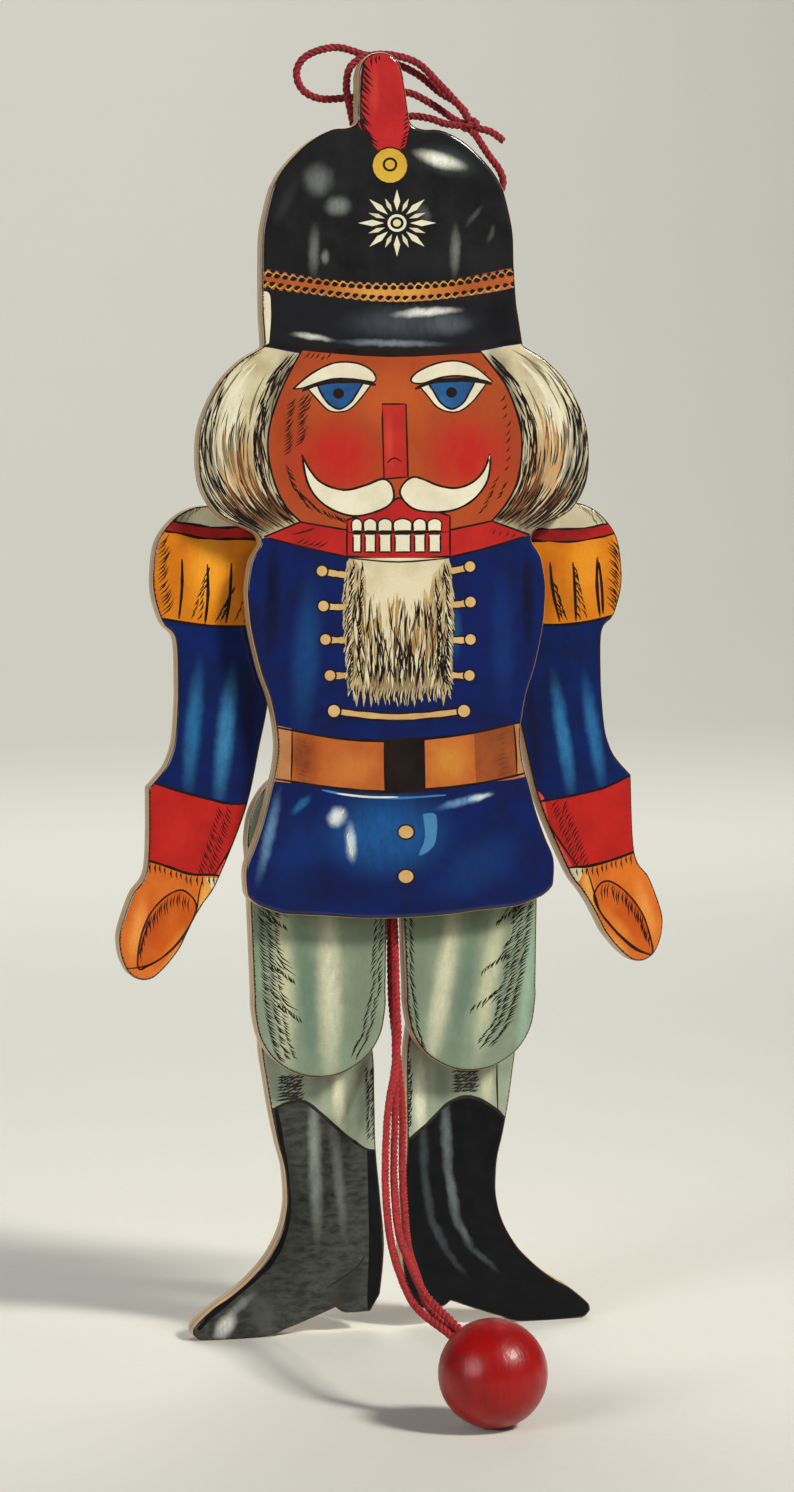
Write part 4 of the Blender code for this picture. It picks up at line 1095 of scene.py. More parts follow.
FACE = [
    *sharp((302, 350)), (284, 384), (271, 420), (268, 452), (275, 484), (287, 508),
    *sharp((302, 523), (347, 531), (450, 531), (491, 522)), (506, 504), (517, 482), (522, 450), (519, 420),
    (505, 384), *sharp((481, 352)), (388, 356),
]
BROWS = (
    [
        *sharp((293, 389)), (311, 374), (334, 363), (356, 363), (371, 370), (376, 379), (369, 383),
        (350, 379), (333, 379), (317, 383), (303, 388),
    ],
    [
        (411, 379), (419, 371), (438, 363), (457, 361), (475, 367), *sharp((493, 382)), (479, 379),
        (462, 376), (443, 377), (424, 383), (414, 383),
    ],
)
EYES = (
    {
        "white": [
            *sharp((307, 388)), (330, 381), (350, 379), *sharp((373, 382)), (361, 398), (350, 409),
            (339, 412), (328, 410), (317, 399),
        ],
        "lid": [(302, 391), (318, 384), (338, 381), (358, 381), (376, 385)],
        "iris": [
            *sharp((317, 384)), (339, 380), *sharp((363, 383)), (357, 393), (350, 403), (339, 409),
            (328, 403), (321, 393),
        ],
        "pupil": (338.5, 393.5),
    },
    {
        "white": [
            *sharp((419, 386)), (440, 380), (465, 378), *sharp((488, 381)), (475, 399), (462, 410),
            (450, 412), (437, 407), (427, 395),
        ],
        "lid": [(415, 389), (432, 382), (452, 380), (472, 380), (492, 384)],
        "iris": [
            *sharp((428, 383)), (452, 379), *sharp((475, 382)), (469, 393), (463, 403), (452, 409),
            (441, 403), (434, 392),
        ],
        "pupil": (451.5, 392.5),
    },
)
MOUSTACHE = (
    [
        *sharp((302, 455)), (310, 470), (322, 483), (344, 490), (366, 485), (382, 479), (391, 484),
        (394, 497), (388, 506), (372, 513), (353, 516), (333, 510), (317, 498), (307, 481),
    ],
    [
        (400, 494), (405, 482), (414, 477), (425, 480), (440, 486), (457, 488), (473, 482), (484, 470),
        *sharp((490, 454)), (490, 468), (486, 484), (473, 500), (454, 510), (432, 512), (412, 508),
    ],
)
NOSE = sharp((382, 404), (406, 404), (408, 477), (384, 479))


NOSTRILS = [(387, 463), (394, 458), (402, 462)]
FACE_HATCHES = (
    ([(287, 406), (285, 430), (284, 456)], 16, 11, 44, 1.6),
    ([(297, 402), (297, 424), (296, 446)], 15, 13, 44, 1.6),
    ([(304, 400), (303, 412)], 4, 11, 44, 1.6),
    ([(285, 464), (291, 484), (304, 501)], 14, 12, -48, 1.6),
    ([(296, 488), (318, 508), (343, 517)], 18, 11, -50, 1.6),
    ([(500, 402), (506, 430), (505, 470)], 9, 8, 50, 1.6),
    ([(492, 484), (486, 500), (478, 514)], 7, 10, 48, 1.6),
    ([(502, 486), (496, 500)], 4, 9, 48, 1.6),
    ([(304, 358), (326, 360)], 5, 8, 55, 1.6),
    ([(476, 372), (486, 374)], 3, 5, 140, 1.6),
)


def face(p):
    p.fill("face", FACE, ink=2.0)
    p.hatches(FACE_HATCHES)
    for brow in BROWS:
        p.fill("white", brow, ink=1.8)
    for eye in EYES:
        p.fill("white", eye["white"], ink=1.6)
        p.fill("iris", eye["iris"], ink=2.0)
        p.spot("ink", *eye["pupil"], 5.6, 5.4)
        p.line(eye["lid"], 5.0)
    p.fill("nose", NOSE, ink=1.7)
    p.line(NOSTRILS, 1.5)


MOUTH_WINGS = (
    [*sharp((264, 537), (300, 522), (347, 530), (347, 557)), (303, 547)],
    [*sharp((530, 535), (492, 521), (450, 530), (450, 557)), (487, 548)],
)
MOUTH_HATCHES = (
    ([(292, 534), (306, 531)], 4, 12, 24, 1.4),
    ([(296, 543), (316, 548)], 5, 11, 30, 1.4),
    ([(492, 534), (512, 538)], 4, 6, 62, 1.3),
)
MOUTH = [
    *sharp((347, 520)), (372, 511), (390, 503), (399, 498), (410, 504), (432, 510),
    *sharp((450, 516), (450, 556)), (398, 560), *sharp((347, 556)),
]
TEETH = (351.0, 363.0, 377.5, 393.0, 412.5, 427.0, 442.5)  # where one tooth ends and the next starts
UPPER_TEETH = (518.5, 522, 531)  # middle and sides of a tooth's round top, and its foot
LOWER_TEETH = (534, 552)
BITE = [(348, 532.5), (398, 532.5), (449, 532)]


def mouth(p):
    for wing in MOUTH_WINGS:
        p.fill("red", wing, ink=2.0)
    p.hatches(MOUTH_HATCHES)
    p.fill("red", MOUTH, ink=2.0)
    crown, side, foot = UPPER_TEETH
    top, low = LOWER_TEETH
    for left, right in zip(TEETH, TEETH[1:]):
        a = left + 0.9
        b = right - 1.2
        tooth = [*sharp((a, foot)), (a, side), (0.5 * (a + b), crown), (b, side), *sharp((b, foot))]
        p.fill("white", tooth, ink=1.6)
        a += 1.2
        b -= 0.8
        p.fill("white", sharp((a, top), (b, top), (b, low), (a, low)), ink=1.8)
    p.line(BITE, 2.0)
    for lobe in MOUSTACHE:
        p.fill("white", lobe, ink=2.2)


BEARD_LEFT = [(349, 558), (346, 590), (346, 624), (349, 660), (351, 690)]
BEARD_RIGHT = [(449, 558), (452, 590), (452, 624), (451, 660), (449, 690)]
BEARD_CORE = [
    (355, 560), (445, 560), (433, 574), (429, 598), (424, 588), (422, 622), (415, 600), (412, 642),
    (404, 612), (401, 650), (397, 606), (392, 656), (388, 604), (383, 640), (380, 600), (374, 626),
    (371, 594), (367, 604), (366, 576),
]


BEARD_LIP = [(348, 558), (398, 562), (450, 558)]
BEARD_TIPS = np.linspace(353, 447, 27)
BEARD_TIP_ROWS = (690, 705)
BEARD_STROKES = (
    (44, "brown", 2.2, (0.02, 0.98), (0.3, 1.0), (0.1, 0.26)),
    (40, "olive", 2.4, (0.02, 0.98), (0.24, 1.0), (0.1, 0.26)),
    (40, "gold", 2.6, (0.1, 0.9), (0.26, 1.0), (0.14, 0.34)),
    (76, "cream", 1.9, (0.02, 0.98), (0.2, 0.92), (0.12, 0.28)),
    (110, "ink", 1.4, (0.02, 0.98), (0.3, 1.0), (0.1, 0.26)),
    (34, "cream", 1.8, (0.04, 0.96), (0.6, 1.0), (0.1, 0.22)),
    (64, "ink", 1.5, (0.03, 0.97), (0.62, 1.0), (0.1, 0.24)),
    (30, "ink", 1.2, (0.0, 0.14), (0.0, 1.0), (0.06, 0.14)),
    (30, "ink", 1.2, (0.86, 1.0), (0.0, 1.0), (0.06, 0.14)),
)
BEARD_FRINGES = (
    ([(355, 684), (400, 690), (445, 684)], 26, 15, 268, 1.7),
    ([(356, 562), (352, 610), (354, 676)], 30, 14, 246, 1.7),
    ([(443, 562), (447, 610), (446, 676)], 30, 14, 290, 1.7),
)
BEARD_HATCHES = (
    ([(364, 576), (363, 610), (362, 650)], 20, 15, 252, 1.5),
    ([(435, 576), (437, 610), (438, 650)], 20, 15, 286, 1.5),
)


def beard(p):
    """A fan of short strands: white at the lip, tan and brown below, ragged at the sides and foot."""
    tips = []
    for i, x in enumerate(BEARD_TIPS):
        tips.append((x, BEARD_TIP_ROWS[i % 2] + p.chance.uniform(-3.0, 3.0)))
    p.lay("beard", [*BEARD_LEFT, *tips, *BEARD_RIGHT[::-1]])
    p.hatch(BEARD_LEFT, 30, 8, 250, 1.9, "beard")
    p.hatch(BEARD_RIGHT, 30, 8, 285, 1.9, "beard")
    p.lay("cream", BEARD_CORE)
    for stroke in BEARD_STROKES:
        p.strands(BEARD_LEFT, BEARD_RIGHT, *stroke)
    p.hatches(BEARD_FRINGES, "cream")
    p.hatches(BEARD_FRINGES)
    p.hatches(BEARD_HATCHES)
    p.line(BEARD_LIP, 1.8)


FROGS = (
    ((322, 571), (346, 575)),
    ((323.5, 606), (346, 607)),
    ((325.5, 639.5), (346, 640)),
    ((330, 675.5), (349, 675)),
    ((470, 566.5), (451, 571)),
    ((470.5, 602), (452, 605)),
    ((470.5, 639.5), (452, 640)),
    ((469.5, 675.5), (451, 675)),
)
LONG_FROG = [(334, 711), (365, 715), (397, 717), (430, 715), (464, 711)]


def frogs(p):
    """Cord fastenings: a bar and a ball on each side of the beard, and a long one below it."""
    for ball, end in FROGS:
        bar = [ball, ((ball[0] + end[0]) / 2.0, (ball[1] + end[1]) / 2.0 + 0.5), end]
        p.line(bar, 9.4, ends=0.95)
        p.line(bar, 6.0, "button", ends=0.95)
        p.spot("button", *ball, 5.2, ink=1.7)
    p.line(LONG_FROG, 9.0, ends=0.95)
    p.line(LONG_FROG, 5.4, "button", ends=0.95)
    for ball in (LONG_FROG[0], LONG_FROG[-1]):
        p.spot("button", *ball, 6.0, ink=1.8)


BELT_TOP = [(270, 726), (335, 738), (385, 741), (423, 739), (472, 733), (535, 719)]
BELT_FOOT = [(270, 778), (335, 788), (385, 792), (423, 790), (482, 783), (538, 770)]
BELT_STRIPS = (
    ("belt_panel", sharp((474, 732), (514, 723), (517, 775), (476, 784))),
    ("belt_end", sharp((262, 722), (292, 729), (291, 783), (262, 780))),
    ("belt_end", [*sharp((514, 724), (545, 716)), (545, 772), *sharp((517, 776))]),
)
BELT_SEAMS = ([(292, 729), (292, 757), (291, 783)], [(514, 724), (516, 750), (517, 775)])
BELT_HATCHES = (
    ([(296, 738), (298, 778)], 9, 12, -20, 1.2),
    ([(508, 732), (510, 772)], 9, 12, 200, 1.2),
)
BUCKLE = sharp((384, 740), (424, 738), (425, 791), (385, 793))
SKIRT_SHEEN = [(322, 790), (352, 795.5), (398, 798), (446, 795)]
SKIRT_GLINT = [(337, 793.5), (368, 797), (398, 797)]
SKIRT_FOLD = [*sharp((423, 814)), (436, 815), (436, 839), (430, 850), (419, 855), (425, 838)]
SKIRT_HATCHES = (
    ([(331, 824), (340, 816)], 4, 8, 58, 1.6),
    ([(348, 832), (353, 850)], 5, 9, 262, 1.6),
)
SKIRT_BUTTONS = ((406, 832), (406, 876.5))


def belt_and_skirt(p):
    p.fill("belt", cornered(BELT_TOP) + BELT_FOOT[::-1] + BELT_FOOT[:1])
    for paint_name, strip in BELT_STRIPS:
        p.fill(paint_name, strip)
    for seam in BELT_SEAMS:
        p.line(seam, 1.8)
    p.line(BELT_TOP, 3.0)
    p.line(BELT_FOOT, 3.2)
    p.hatches(BELT_HATCHES, "brown")
    p.fill("ink", BUCKLE, ink=1.4)
    p.line(SKIRT_SHEEN, 2.6, "pale_blue")
    p.line(SKIRT_GLINT, 2.0, "white")
    p.fill("pale_blue", SKIRT_FOLD)
    p.hatches(SKIRT_HATCHES, "white")
    for button in SKIRT_BUTTONS:
        p.spot("button", *button, 7.4, 6.4, ink=1.8)


def body_picture():
    p = Print("body_plate")
    hair(p)
    plume_and_hat(p)
    face(p)
    mouth(p)
    frogs(p)
    beard(p)
    belt_and_skirt(p)
    return p


def fan(p, apex, left, right, lean):
    """Fine strokes that fill a triangle."""
    for share in (0.1, 0.6):
        foot = [a + (b - a) * share for a, b in zip(left, right)]
        p.hatch([apex, foot], 7, 11, lean, 1.8)


ARMS = {
    "left": {
        "stripe": [(150, 524), (169, 526), (210, 533), (245, 533), (275, 535)],
        "foot": [(140, 613), (164, 619), (210, 626), (254, 626), (285, 622)],
        "folds": [
            [(182, 559), (182, 588), (179, 619)],
            [(207.5, 564), (208, 595), (205, 624)],
            [(231.5, 563), (230, 595), (226, 623)],
            [(256, 562), (252, 580), (251, 600)],
        ],
        "fans": [
            ((204, 577), (189, 619), (203, 621)),
            ((228, 597), (214, 622), (224, 622)),
            ((252, 574), (232, 622), (250, 622)),
        ],
        "fan_lean": 60,
        "edge": [(159, 546), (158, 580), (162, 616)],
        "cap": [(172, 525), (178, 517), (189, 509)],
        "cuff_top": [(140, 779), (157, 784), (186, 793), (213, 800), (232, 804), (255, 803)],
        "cuff_foot": [(135, 857), (150, 861), (169, 867), (190, 874), (214, 875), (226, 877)],
        "cuff_line": [(247, 818), (238, 836), (214, 875)],
        "cuff_edge": [(247, 800), (258, 800), (236, 880), (216, 878), (238, 836)],
        "cuff_hatch": [(218, 806), (198, 868)],
        "cuff_lean": -58,
        "thumb": [(203, 877), (199, 894), (196, 911), (186, 933), (167, 954), (146, 966), (122, 969)],
        "oval": [
            (138, 968), (140, 941), (149, 916), (164, 898), (180, 890), (190, 895), (196, 904), (194, 917),
            (180, 940), (163, 957), (148, 966),
        ],
        "oval_edge": [(141, 944), (149, 918), (164, 900), (180, 892), (190, 897)],
        "corner": [*sharp((206, 878), (226, 878)), (215, 892)],
    },
    "right": {
        "stripe": [(525, 535), (542, 535), (577, 535), (610, 529), (630, 524)],
        "foot": [(515, 622), (545, 625), (581, 623), (616, 615), (635, 608)],
        "folds": [
            [(550, 562), (553, 592), (560, 622)],
            [(573, 562), (575, 592), (576, 621)],
            [(597.5, 557), (597, 586), (600, 617)],
            [(599, 562), (602, 590), (603, 614)],
        ],
        "fans": [((558, 592), (562, 620), (570, 620)), ((578, 574), (580, 620), (592, 617))],
        "fan_lean": 120,
        "edge": [(619, 551), (620, 580), (617, 614)],
        "cap": [(609, 526), (603, 517), (592, 509)],
        "cuff_top": [(530, 803), (542, 801), (570, 796), (603, 788), (631, 775), (645, 768)],
        "cuff_foot": [(565, 868), (577, 867), (589, 866), (612, 860), (636, 851), (650, 845)],
        "cuff_line": [(543, 812), (551, 828), (577, 866)],
        "cuff_edge": [(543, 796), (530, 796), (552, 874), (574, 872), (551, 828)],
        "cuff_hatch": [(567, 800), (590, 860)],
        "cuff_lean": 238,
        "thumb": [(587, 868), (591, 882), (595, 895), (601, 913), (618, 934), (636, 950), (656, 956)],
        "oval": [
            (652, 954), (650, 936), (642, 913), (627, 893), (612, 882), (603, 882), (597, 888), (594, 898),
            (601, 913), (618, 933), (636, 948),
        ],
        "oval_edge": [(649, 934), (641, 913), (627, 894), (612, 884), (603, 884)],
        "corner": [*sharp((568, 868), (584, 868)), (578, 882)],
    },
}


def arm_picture(word):
    p = Print(f"{word}_arm")
    arm = ARMS[word]
    stripe = arm["stripe"]
    inwards = 1.0 if word == "left" else -1.0
    top = [(x, y - 60) for x, y in stripe]
    p.fill("cap", cornered(stripe) + top[::-1] + top[:1])
    for shift, paint_name in ((0, "ink"), (5, "olive"), (11, "olive")):
        p.hatch([(x + inwards * shift, y) for x, y in arm["cap"]], 7, 8, 90 - 30 * inwards, 1.6, paint_name)
    p.fill("epaulette", cornered(stripe) + arm["foot"][-1:] + arm["foot"][::-1])
    p.hatch(arm["edge"], 18, 16, 90 - 42 * inwards, 1.7)
    for fold in arm["folds"]:
        p.line(fold, 3.2)
    for corners in arm["fans"]:
        fan(p, *corners, arm["fan_lean"])
    p.line(stripe, 13.5, ends=0.97)
    p.line(stripe, 9.4, "stripe", ends=0.97)
    p.line(arm["foot"], 3.0)
    foot = arm["cuff_foot"]
    p.fill("cuff", cornered(arm["cuff_top"]) + foot[::-1])
    p.fill("pale_red", arm["cuff_edge"])
    for shift in (0.0, 9.0):
        p.hatch([(x + inwards * shift, y) for x, y in arm["cuff_hatch"]], 17, 12, arm["cuff_lean"], 1.5)
    p.line(arm["cuff_line"], 2.0)
    p.below("hand", foot, 130.0)
    p.fill("palm", arm["oval"], ink=1.8)
    p.hatch(arm["oval_edge"], 24, 15, -92, 1.6)
    p.line(arm["thumb"], 2.0)
    p.fill("cream", arm["corner"])
    p.hatch([(x, y + 1) for x, y in foot[1:5]], 13, 10, -86, 1.8)
    p.line(arm["cuff_top"], 2.8)
    p.line(foot, 2.8)
    return p


THIGHS = {
    "left": {
        "outer": [(257, 900), (259, 950), (263, 1000), (270, 1040), (276, 1054)],
        "reach": ((895, 903, 908, 940, 956, 962, 986, 997, 1003, 1040), (8, 24, 9, 7, 28, 10, 7, 28, 9, 7)),
        "lean": -41,
        "tips": [(287, 930), (295, 983), (301, 1022)],
        "tip_lean": -64,
        "inner": [(385, 905), (383, 980), (372, 1030), (362, 1050)],
        "inner_lean": 238,
    },
    "right": {
        "outer": [(536, 896), (531, 940), (524, 980), (514, 1018), (498, 1040)],
        "reach": ((890, 899, 904, 932, 946, 953, 977, 988, 995, 1036), (8, 24, 9, 7, 28, 10, 7, 28, 9, 7)),
        "lean": 221,
        "tips": [(497, 924), (483, 973), (472, 1011)],
        "tip_lean": 244,
        "inner": [(403, 910), (404, 980), (409, 1020), (416, 1044)],
        "inner_lean": -62,
    },
}


def thigh_picture(word):
    p = Print(f"{word}_thigh")
    leg = THIGHS[word]
    inwards = 1.0 if word == "left" else -1.0
    for shift, length in ((0, 13), (8, 13), (16, leg["reach"])):
        p.hatch([(x + inwards * shift, y) for x, y in leg["outer"]], 48, length, leg["lean"], 1.5)
    for x, y in leg["tips"]:
        p.hatch([(x - inwards * 24, y - 20), (x - inwards * 2, y - 5)], 9, 8, leg["tip_lean"], 1.6)
    for shift in (0, 6):
        p.hatch([(x - inwards * shift, y) for x, y in leg["inner"]], 34, 11, leg["inner_lean"], 1.5)
    return p


BOOTS = {
    "left": {
        "top": [
            (255, 1124), (268, 1113), (280, 1106), (291, 1102), (305, 1102), (319, 1112), (337, 1128),
            (355, 1142), (369, 1150), (388, 1149),
        ],
        "patch": (277, 303, 1078, 1102),
        "inner": [(364, 1072), (366, 1140)],
        "crease": ([(327, 1288), (342, 1278), (357, 1267), (365, 1256)], 2.0),
        "sole": [(205, 1348), (240, 1354), (278, 1352), (300, 1342), (322, 1326), (346, 1326), (372, 1320)],
    },
    "right": {
        "top": [
            (395, 1148), (408, 1140), (427, 1124), (446, 1105), (463, 1097), (479, 1099), (496, 1109),
            (503, 1116), (514, 1126),
        ],
        "patch": (452, 478, 1066, 1094),
        "inner": [(402, 1066), (403, 1128)],
        "crease": ([(497, 1060), (497, 1085), (498, 1112)], 1.8),
        "sole": [(402, 1312), (428, 1320), (452, 1318), (470, 1330), (492, 1338), (540, 1338), (574, 1330)],
    },
}
BOOT_EDGE = [
    (276, 1109), (284, 1157), (288, 1196), (286, 1225), (273, 1259), (245, 1287), (215, 1312), (198, 1330),
]
HEEL_BAND = [*sharp((367, 1151), (379, 1149)), (382, 1240), (384, 1312), (368, 1312), (369, 1240)]


def boot_picture(word):
    p = Print(f"{word}_boot")
    boot = BOOTS[word]
    left, right, high, low = boot["patch"]
    for y in np.arange(high, low, 3.2):
        p.hatch([(left, y), (right - 6, y)], 9, 8, 24, 1.7)
    for shift in (0, 5):
        p.hatch([(x + shift, y) for x, y in boot["inner"]], 24, 8, 58, 1.6)
    p.below(f"{word}_boot", boot["top"], 300.0)
    if word == "left":
        p.fill("right_boot", HEEL_BAND)
        p.line(BOOT_EDGE, 6.0, "right_boot", ends=0.6)
    p.line(*boot["crease"])
    p.line(boot["sole"], 3.0, "grey")
    p.line(boot["top"], 3.4)
    return p


def bore(node, radius, depth=None):
    """A bore on a pin's axis, as add_plate takes it."""
    return (*middle(node), radius, depth)


def add_plates():
    pegs = [f"{word}_{joint}_peg" for word, _ in SIDES for joint in ("shoulder", "hip")]
    bores = [bore(peg, PEG_BORE, BLIND_DEPTH) for peg in pegs]
    low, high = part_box("hanger_staple")
    reach = 0.5 * (high.z - low.z)
    bores += [(x, 0.0, STAPLE_BORE, BLIND_DEPTH) for x in (low.x + reach, high.x - reach)]
    add_plate("body_plate", "figure", "coat", body_picture(), bores)
    for word, _ in SIDES:
        arm = f"{word}_arm"
        bores = [bore(f"{word}_shoulder_peg", PEG_BORE), bore(f"{arm}_stud", STUD_BORE, STUD_BORE_DEPTH)]
        add_plate(arm, arm, "sleeve", arm_picture(word), bores)
        thigh = f"{word}_thigh"
        knee = f"{word}_knee_peg"
        bores = [bore(f"{word}_hip_peg", PEG_BORE), bore(knee, PEG_BORE, BLIND_DEPTH)]
        bores.append(bore(f"{thigh}_stud", STUD_BORE, STUD_BORE_DEPTH))
        add_plate(thigh, thigh, "trouser", thigh_picture(word), bores)
        boot = f"{word}_boot"
        add_plate(boot, boot, "shin", boot_picture(word), [bore(knee, PEG_BORE)])


# Turned pieces and wire


def lathe(name, paint_name, profile, centre, axis, count=40):
    """A turned piece: profile holds (radius, place along the axis), and runs up the outer side."""
    axis = Vector(axis).normalized()
    side = axis.orthogonal().normalized()
    other = axis.cross(side)
    verts = []
    faces = []
    rows = []
    for radius, place in profile:
        row = []
        hub = Vector(centre) + axis * place
        for i in range(count if radius > 0.0 else 1):
            a = 2.0 * pi * i / count
            verts.append(hub + side * (radius * cos(a)) + other * (radius * sin(a)))
            row.append(len(verts) - 1)
        rows.append(row)
    for low, high in zip(rows, rows[1:]):
        for i in range(count):
            j = (i + 1) % count
            if len(low) == 1:
                faces.append([low[0], high[j], high[i]])
            elif len(high) == 1:
                faces.append([low[i], low[j], high[0]])
            else:
                faces.append([low[i], low[j], high[j], high[i]])
    return add_mesh(name, verts, faces, [paint_name])


def rounded(radius, start, end, bevel):
    """The outer side of a disc from start to end, with rounded edges."""
    turns = [0.5 * pi * i / BEVEL_STEPS for i in range(BEVEL_STEPS + 1)]
    first = [(radius - bevel + bevel * sin(a), start + bevel - bevel * cos(a)) for a in turns]
    second = [(radius - bevel + bevel * cos(a), end - bevel + bevel * sin(a)) for a in turns]
    return first + second


def add_turned(node, ending, finish, body, profile):
    """A piece turned about the Y axis, in place of its CAD node."""
    x, z = middle(node)
    obj = lathe(node + ending, finish, profile, (x, 0.0, z), (0.0, 1.0, 0.0))
    put(obj, node, body)


def add_peg(node, body):
    """A turned peg with a domed head and a small pip left by the lathe."""
    low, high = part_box(node)
    head = 0.5 * (high.x - low.x)
    thick = 0.0016
    shank = 0.0020
    chamfer = 0.0004
    bevel = 0.0003
    under = high.y - thick
    profile = [(0.0, low.y), (shank - chamfer, low.y), (shank, low.y + chamfer), (shank, under)]
    profile += [(head - bevel, under), (head, under + bevel), (head, under + 0.6 * thick)]
    for a in (0.3, 0.6, 0.9, 1.15, 1.35):
        profile.append((head * cos(a), under + thick * (0.6 + 0.34 * sin(a))))
    profile += [(0.0005, high.y - 0.00008), (0.0003, high.y), (0.0, high.y)]
    add_turned(node, "_turned", "turned_beech", body, profile)


def add_washer(node, body):
    low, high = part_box(node)
    outer = rounded(0.5 * (high.x - low.x), low.y, high.y, 0.00025)
    profile = [(PEG_BORE, low.y), *outer, (PEG_BORE, high.y), (PEG_BORE, low.y)]
    add_turned(node, "_cut", "fibre_washer", body, profile)


def add_stud(node, body):
    """A brass tack with a domed head and a pointed foot."""
    low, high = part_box(node)
    head = 0.5 * (high.x - low.x)
    shank = 0.0007
    point = 0.0009
    rim = 0.0001
    dome = 0.0006
    under = high.y - rim - dome
    profile = [(0.0, low.y), (shank, low.y + point), (shank, under), (head - rim, under)]
    for a in (0.0, 0.3, 0.6, 0.9, 1.2, 1.4):
        profile.append((head * cos(a), under + rim + dome * sin(a)))
    profile.append((0.0, high.y))
    add_turned(node, "_tack", "brass_tack", body, profile)


def frames(points):
    """Two directions across a line at each of its points, carried along without twist."""
    points = np.asarray(points, float)
    slope = np.gradient(points, axis=0)
    slope /= np.linalg.norm(slope, axis=1)[:, None]
    side = np.cross(slope[0], (0.31, 0.52, 0.79))
    sides = []
    for t in slope:
        side = side - t * (side @ t)
        side = side / np.linalg.norm(side)
        sides.append(side)
    sides = np.array(sides)
    return sides, np.cross(slope, sides)


def tube(points, radii, count=8):
    """Points and faces of a closed round tube along a line, as thick as radii says at each point."""
    points = np.asarray(points, float)
    side, other = frames(points)
    turns = 2.0 * pi * np.arange(count) / count
    wide = np.broadcast_to(np.asarray(radii, float), (len(points),))[:, None, None]
    ring = side[:, None] * np.cos(turns)[None, :, None] + other[:, None] * np.sin(turns)[None, :, None]
    verts = (points[:, None] + wide * ring).reshape(-1, 3)
    faces = []
    for i in range(len(points) - 1):
        for j in range(count):
            k = (j + 1) % count
            a = i * count
            faces.append([a + j, a + k, a + count + k, a + count + j])
    last = (len(points) - 1) * count
    faces.append(list(range(count))[::-1])
    faces.append([last + j for j in range(count)])
    return verts, faces


def joined(parts):
    verts = []
    faces = []
    for points, cells in parts:
        first = len(verts)
        verts += list(points)
        faces += [[first + i for i in cell] for cell in cells]
    return verts, faces


def add_staple():
    node = "hanger_staple"
    low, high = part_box(node)
    wire = 0.5 * (high.z - low.z)
    half = 0.5 * (high.x - low.x) - wire
    bend = high.y - wire - half
    points = [(-half, low.y, 0.0), (-half, 0.5 * (low.y + bend), 0.0)]
    points += [(-half * cos(a), bend + half * sin(a), 0.0) for a in np.linspace(0.0, pi, 25)]
    points += [(half, 0.5 * (low.y + bend), 0.0), (half, low.y, 0.0)]
    verts, faces = tube(points, wire, 14)
    put(add_mesh(node + "_wire", verts, faces, ["steel_wire"]), node, "figure")


# Cords


def route(points, spacing):
    """Evenly spaced points on a smooth line through the given ones."""
    dense = smooth([tuple(p) for p in points], False, 12)
    return along(dense, max(8, ceil(line_length(dense) / spacing)))


def twisted(points, diameter, seed, pitch=LAY_PITCH):
    """Three plies laid round each other along a line, with loose fibres standing off them."""
    chance = random.Random(seed)
    line = along(points, max(12, ceil(line_length(points) / (pitch / 11.0))))
    side, other = frames(line)
    ply = PLY * diameter
    offset = PLY_RING * diameter
    run = np.concatenate([[0.0], np.cumsum(np.linalg.norm(np.diff(line, axis=0), axis=1))])
    parts = []
    for k in range(3):
        turn = 2.0 * pi * (run / pitch + k / 3.0)
        path = line + offset * (side * np.cos(turn)[:, None] + other * np.sin(turn)[:, None])
        parts.append(tube(path, ply * (1.0 + 0.05 * np.sin(9.1 * run / pitch + k)), 8))
    for _ in range(int(run[-1] / FIBRE_STEP)):
        i = chance.randrange(1, len(line) - 2)
        a = chance.uniform(0.0, 2.0 * pi)
        out = side[i] * cos(a) + other[i] * sin(a)
        ahead = line[i + 1] - line[i]
        ahead = ahead / np.linalg.norm(ahead)
        reach = chance.uniform(0.10, 0.26) * diameter
        start = line[i] + out * 0.46 * diameter
        tip = start + out * reach + ahead * chance.uniform(-0.5, 0.5) * diameter
        bend = 0.5 * (start + tip) + out * 0.3 * reach
        parts.append(tube([start, bend, tip], FIBRE, 3))
    return joined(parts)


PULL_ROUTES = {
    "front": [
        (0.0000, 0.0046, -0.1150), (0.0000, 0.0022, -0.1310), (0.0000, 0.0012, -0.1460),
        (-0.0002, -0.0006, -0.1530), (-0.0018, -0.0036, -0.1600), (-0.0042, -0.0082, -0.1668),
        (-0.0066, -0.0160, -0.1752), (-0.0088, -0.0258, -0.1815), (-0.0110, -0.0390, -0.1872),
        (-0.0124, -0.0530, -0.1912), (-0.0122, -0.0655, -0.1950),
    ],
    "middle": [
        (0.0000, 0.0084, -0.1140), (0.0000, 0.0062, -0.1210), (0.0000, 0.0044, -0.1310),
        (0.0000, 0.0036, -0.1460), (-0.0004, 0.0010, -0.1560), (-0.0022, -0.0060, -0.1672),
        (-0.0044, -0.0138, -0.1758), (-0.0066, -0.0238, -0.1812), (-0.0090, -0.0375, -0.1862),
        (-0.0102, -0.0520, -0.1896), (-0.0104, -0.0650, -0.1928),
    ],
    "back": [
        (0.0000, 0.0112, -0.1128), (0.0000, 0.0094, -0.1200), (0.0000, 0.0066, -0.1310),
        (0.0000, 0.0058, -0.1460), (0.0004, 0.0034, -0.1560), (-0.0002, -0.0036, -0.1676),
        (-0.0022, -0.0116, -0.1768), (-0.0044, -0.0222, -0.1832), (-0.0070, -0.0364, -0.1890),
        (-0.0086, -0.0512, -0.1924), (-0.0094, -0.0640, -0.1956),
    ],
}
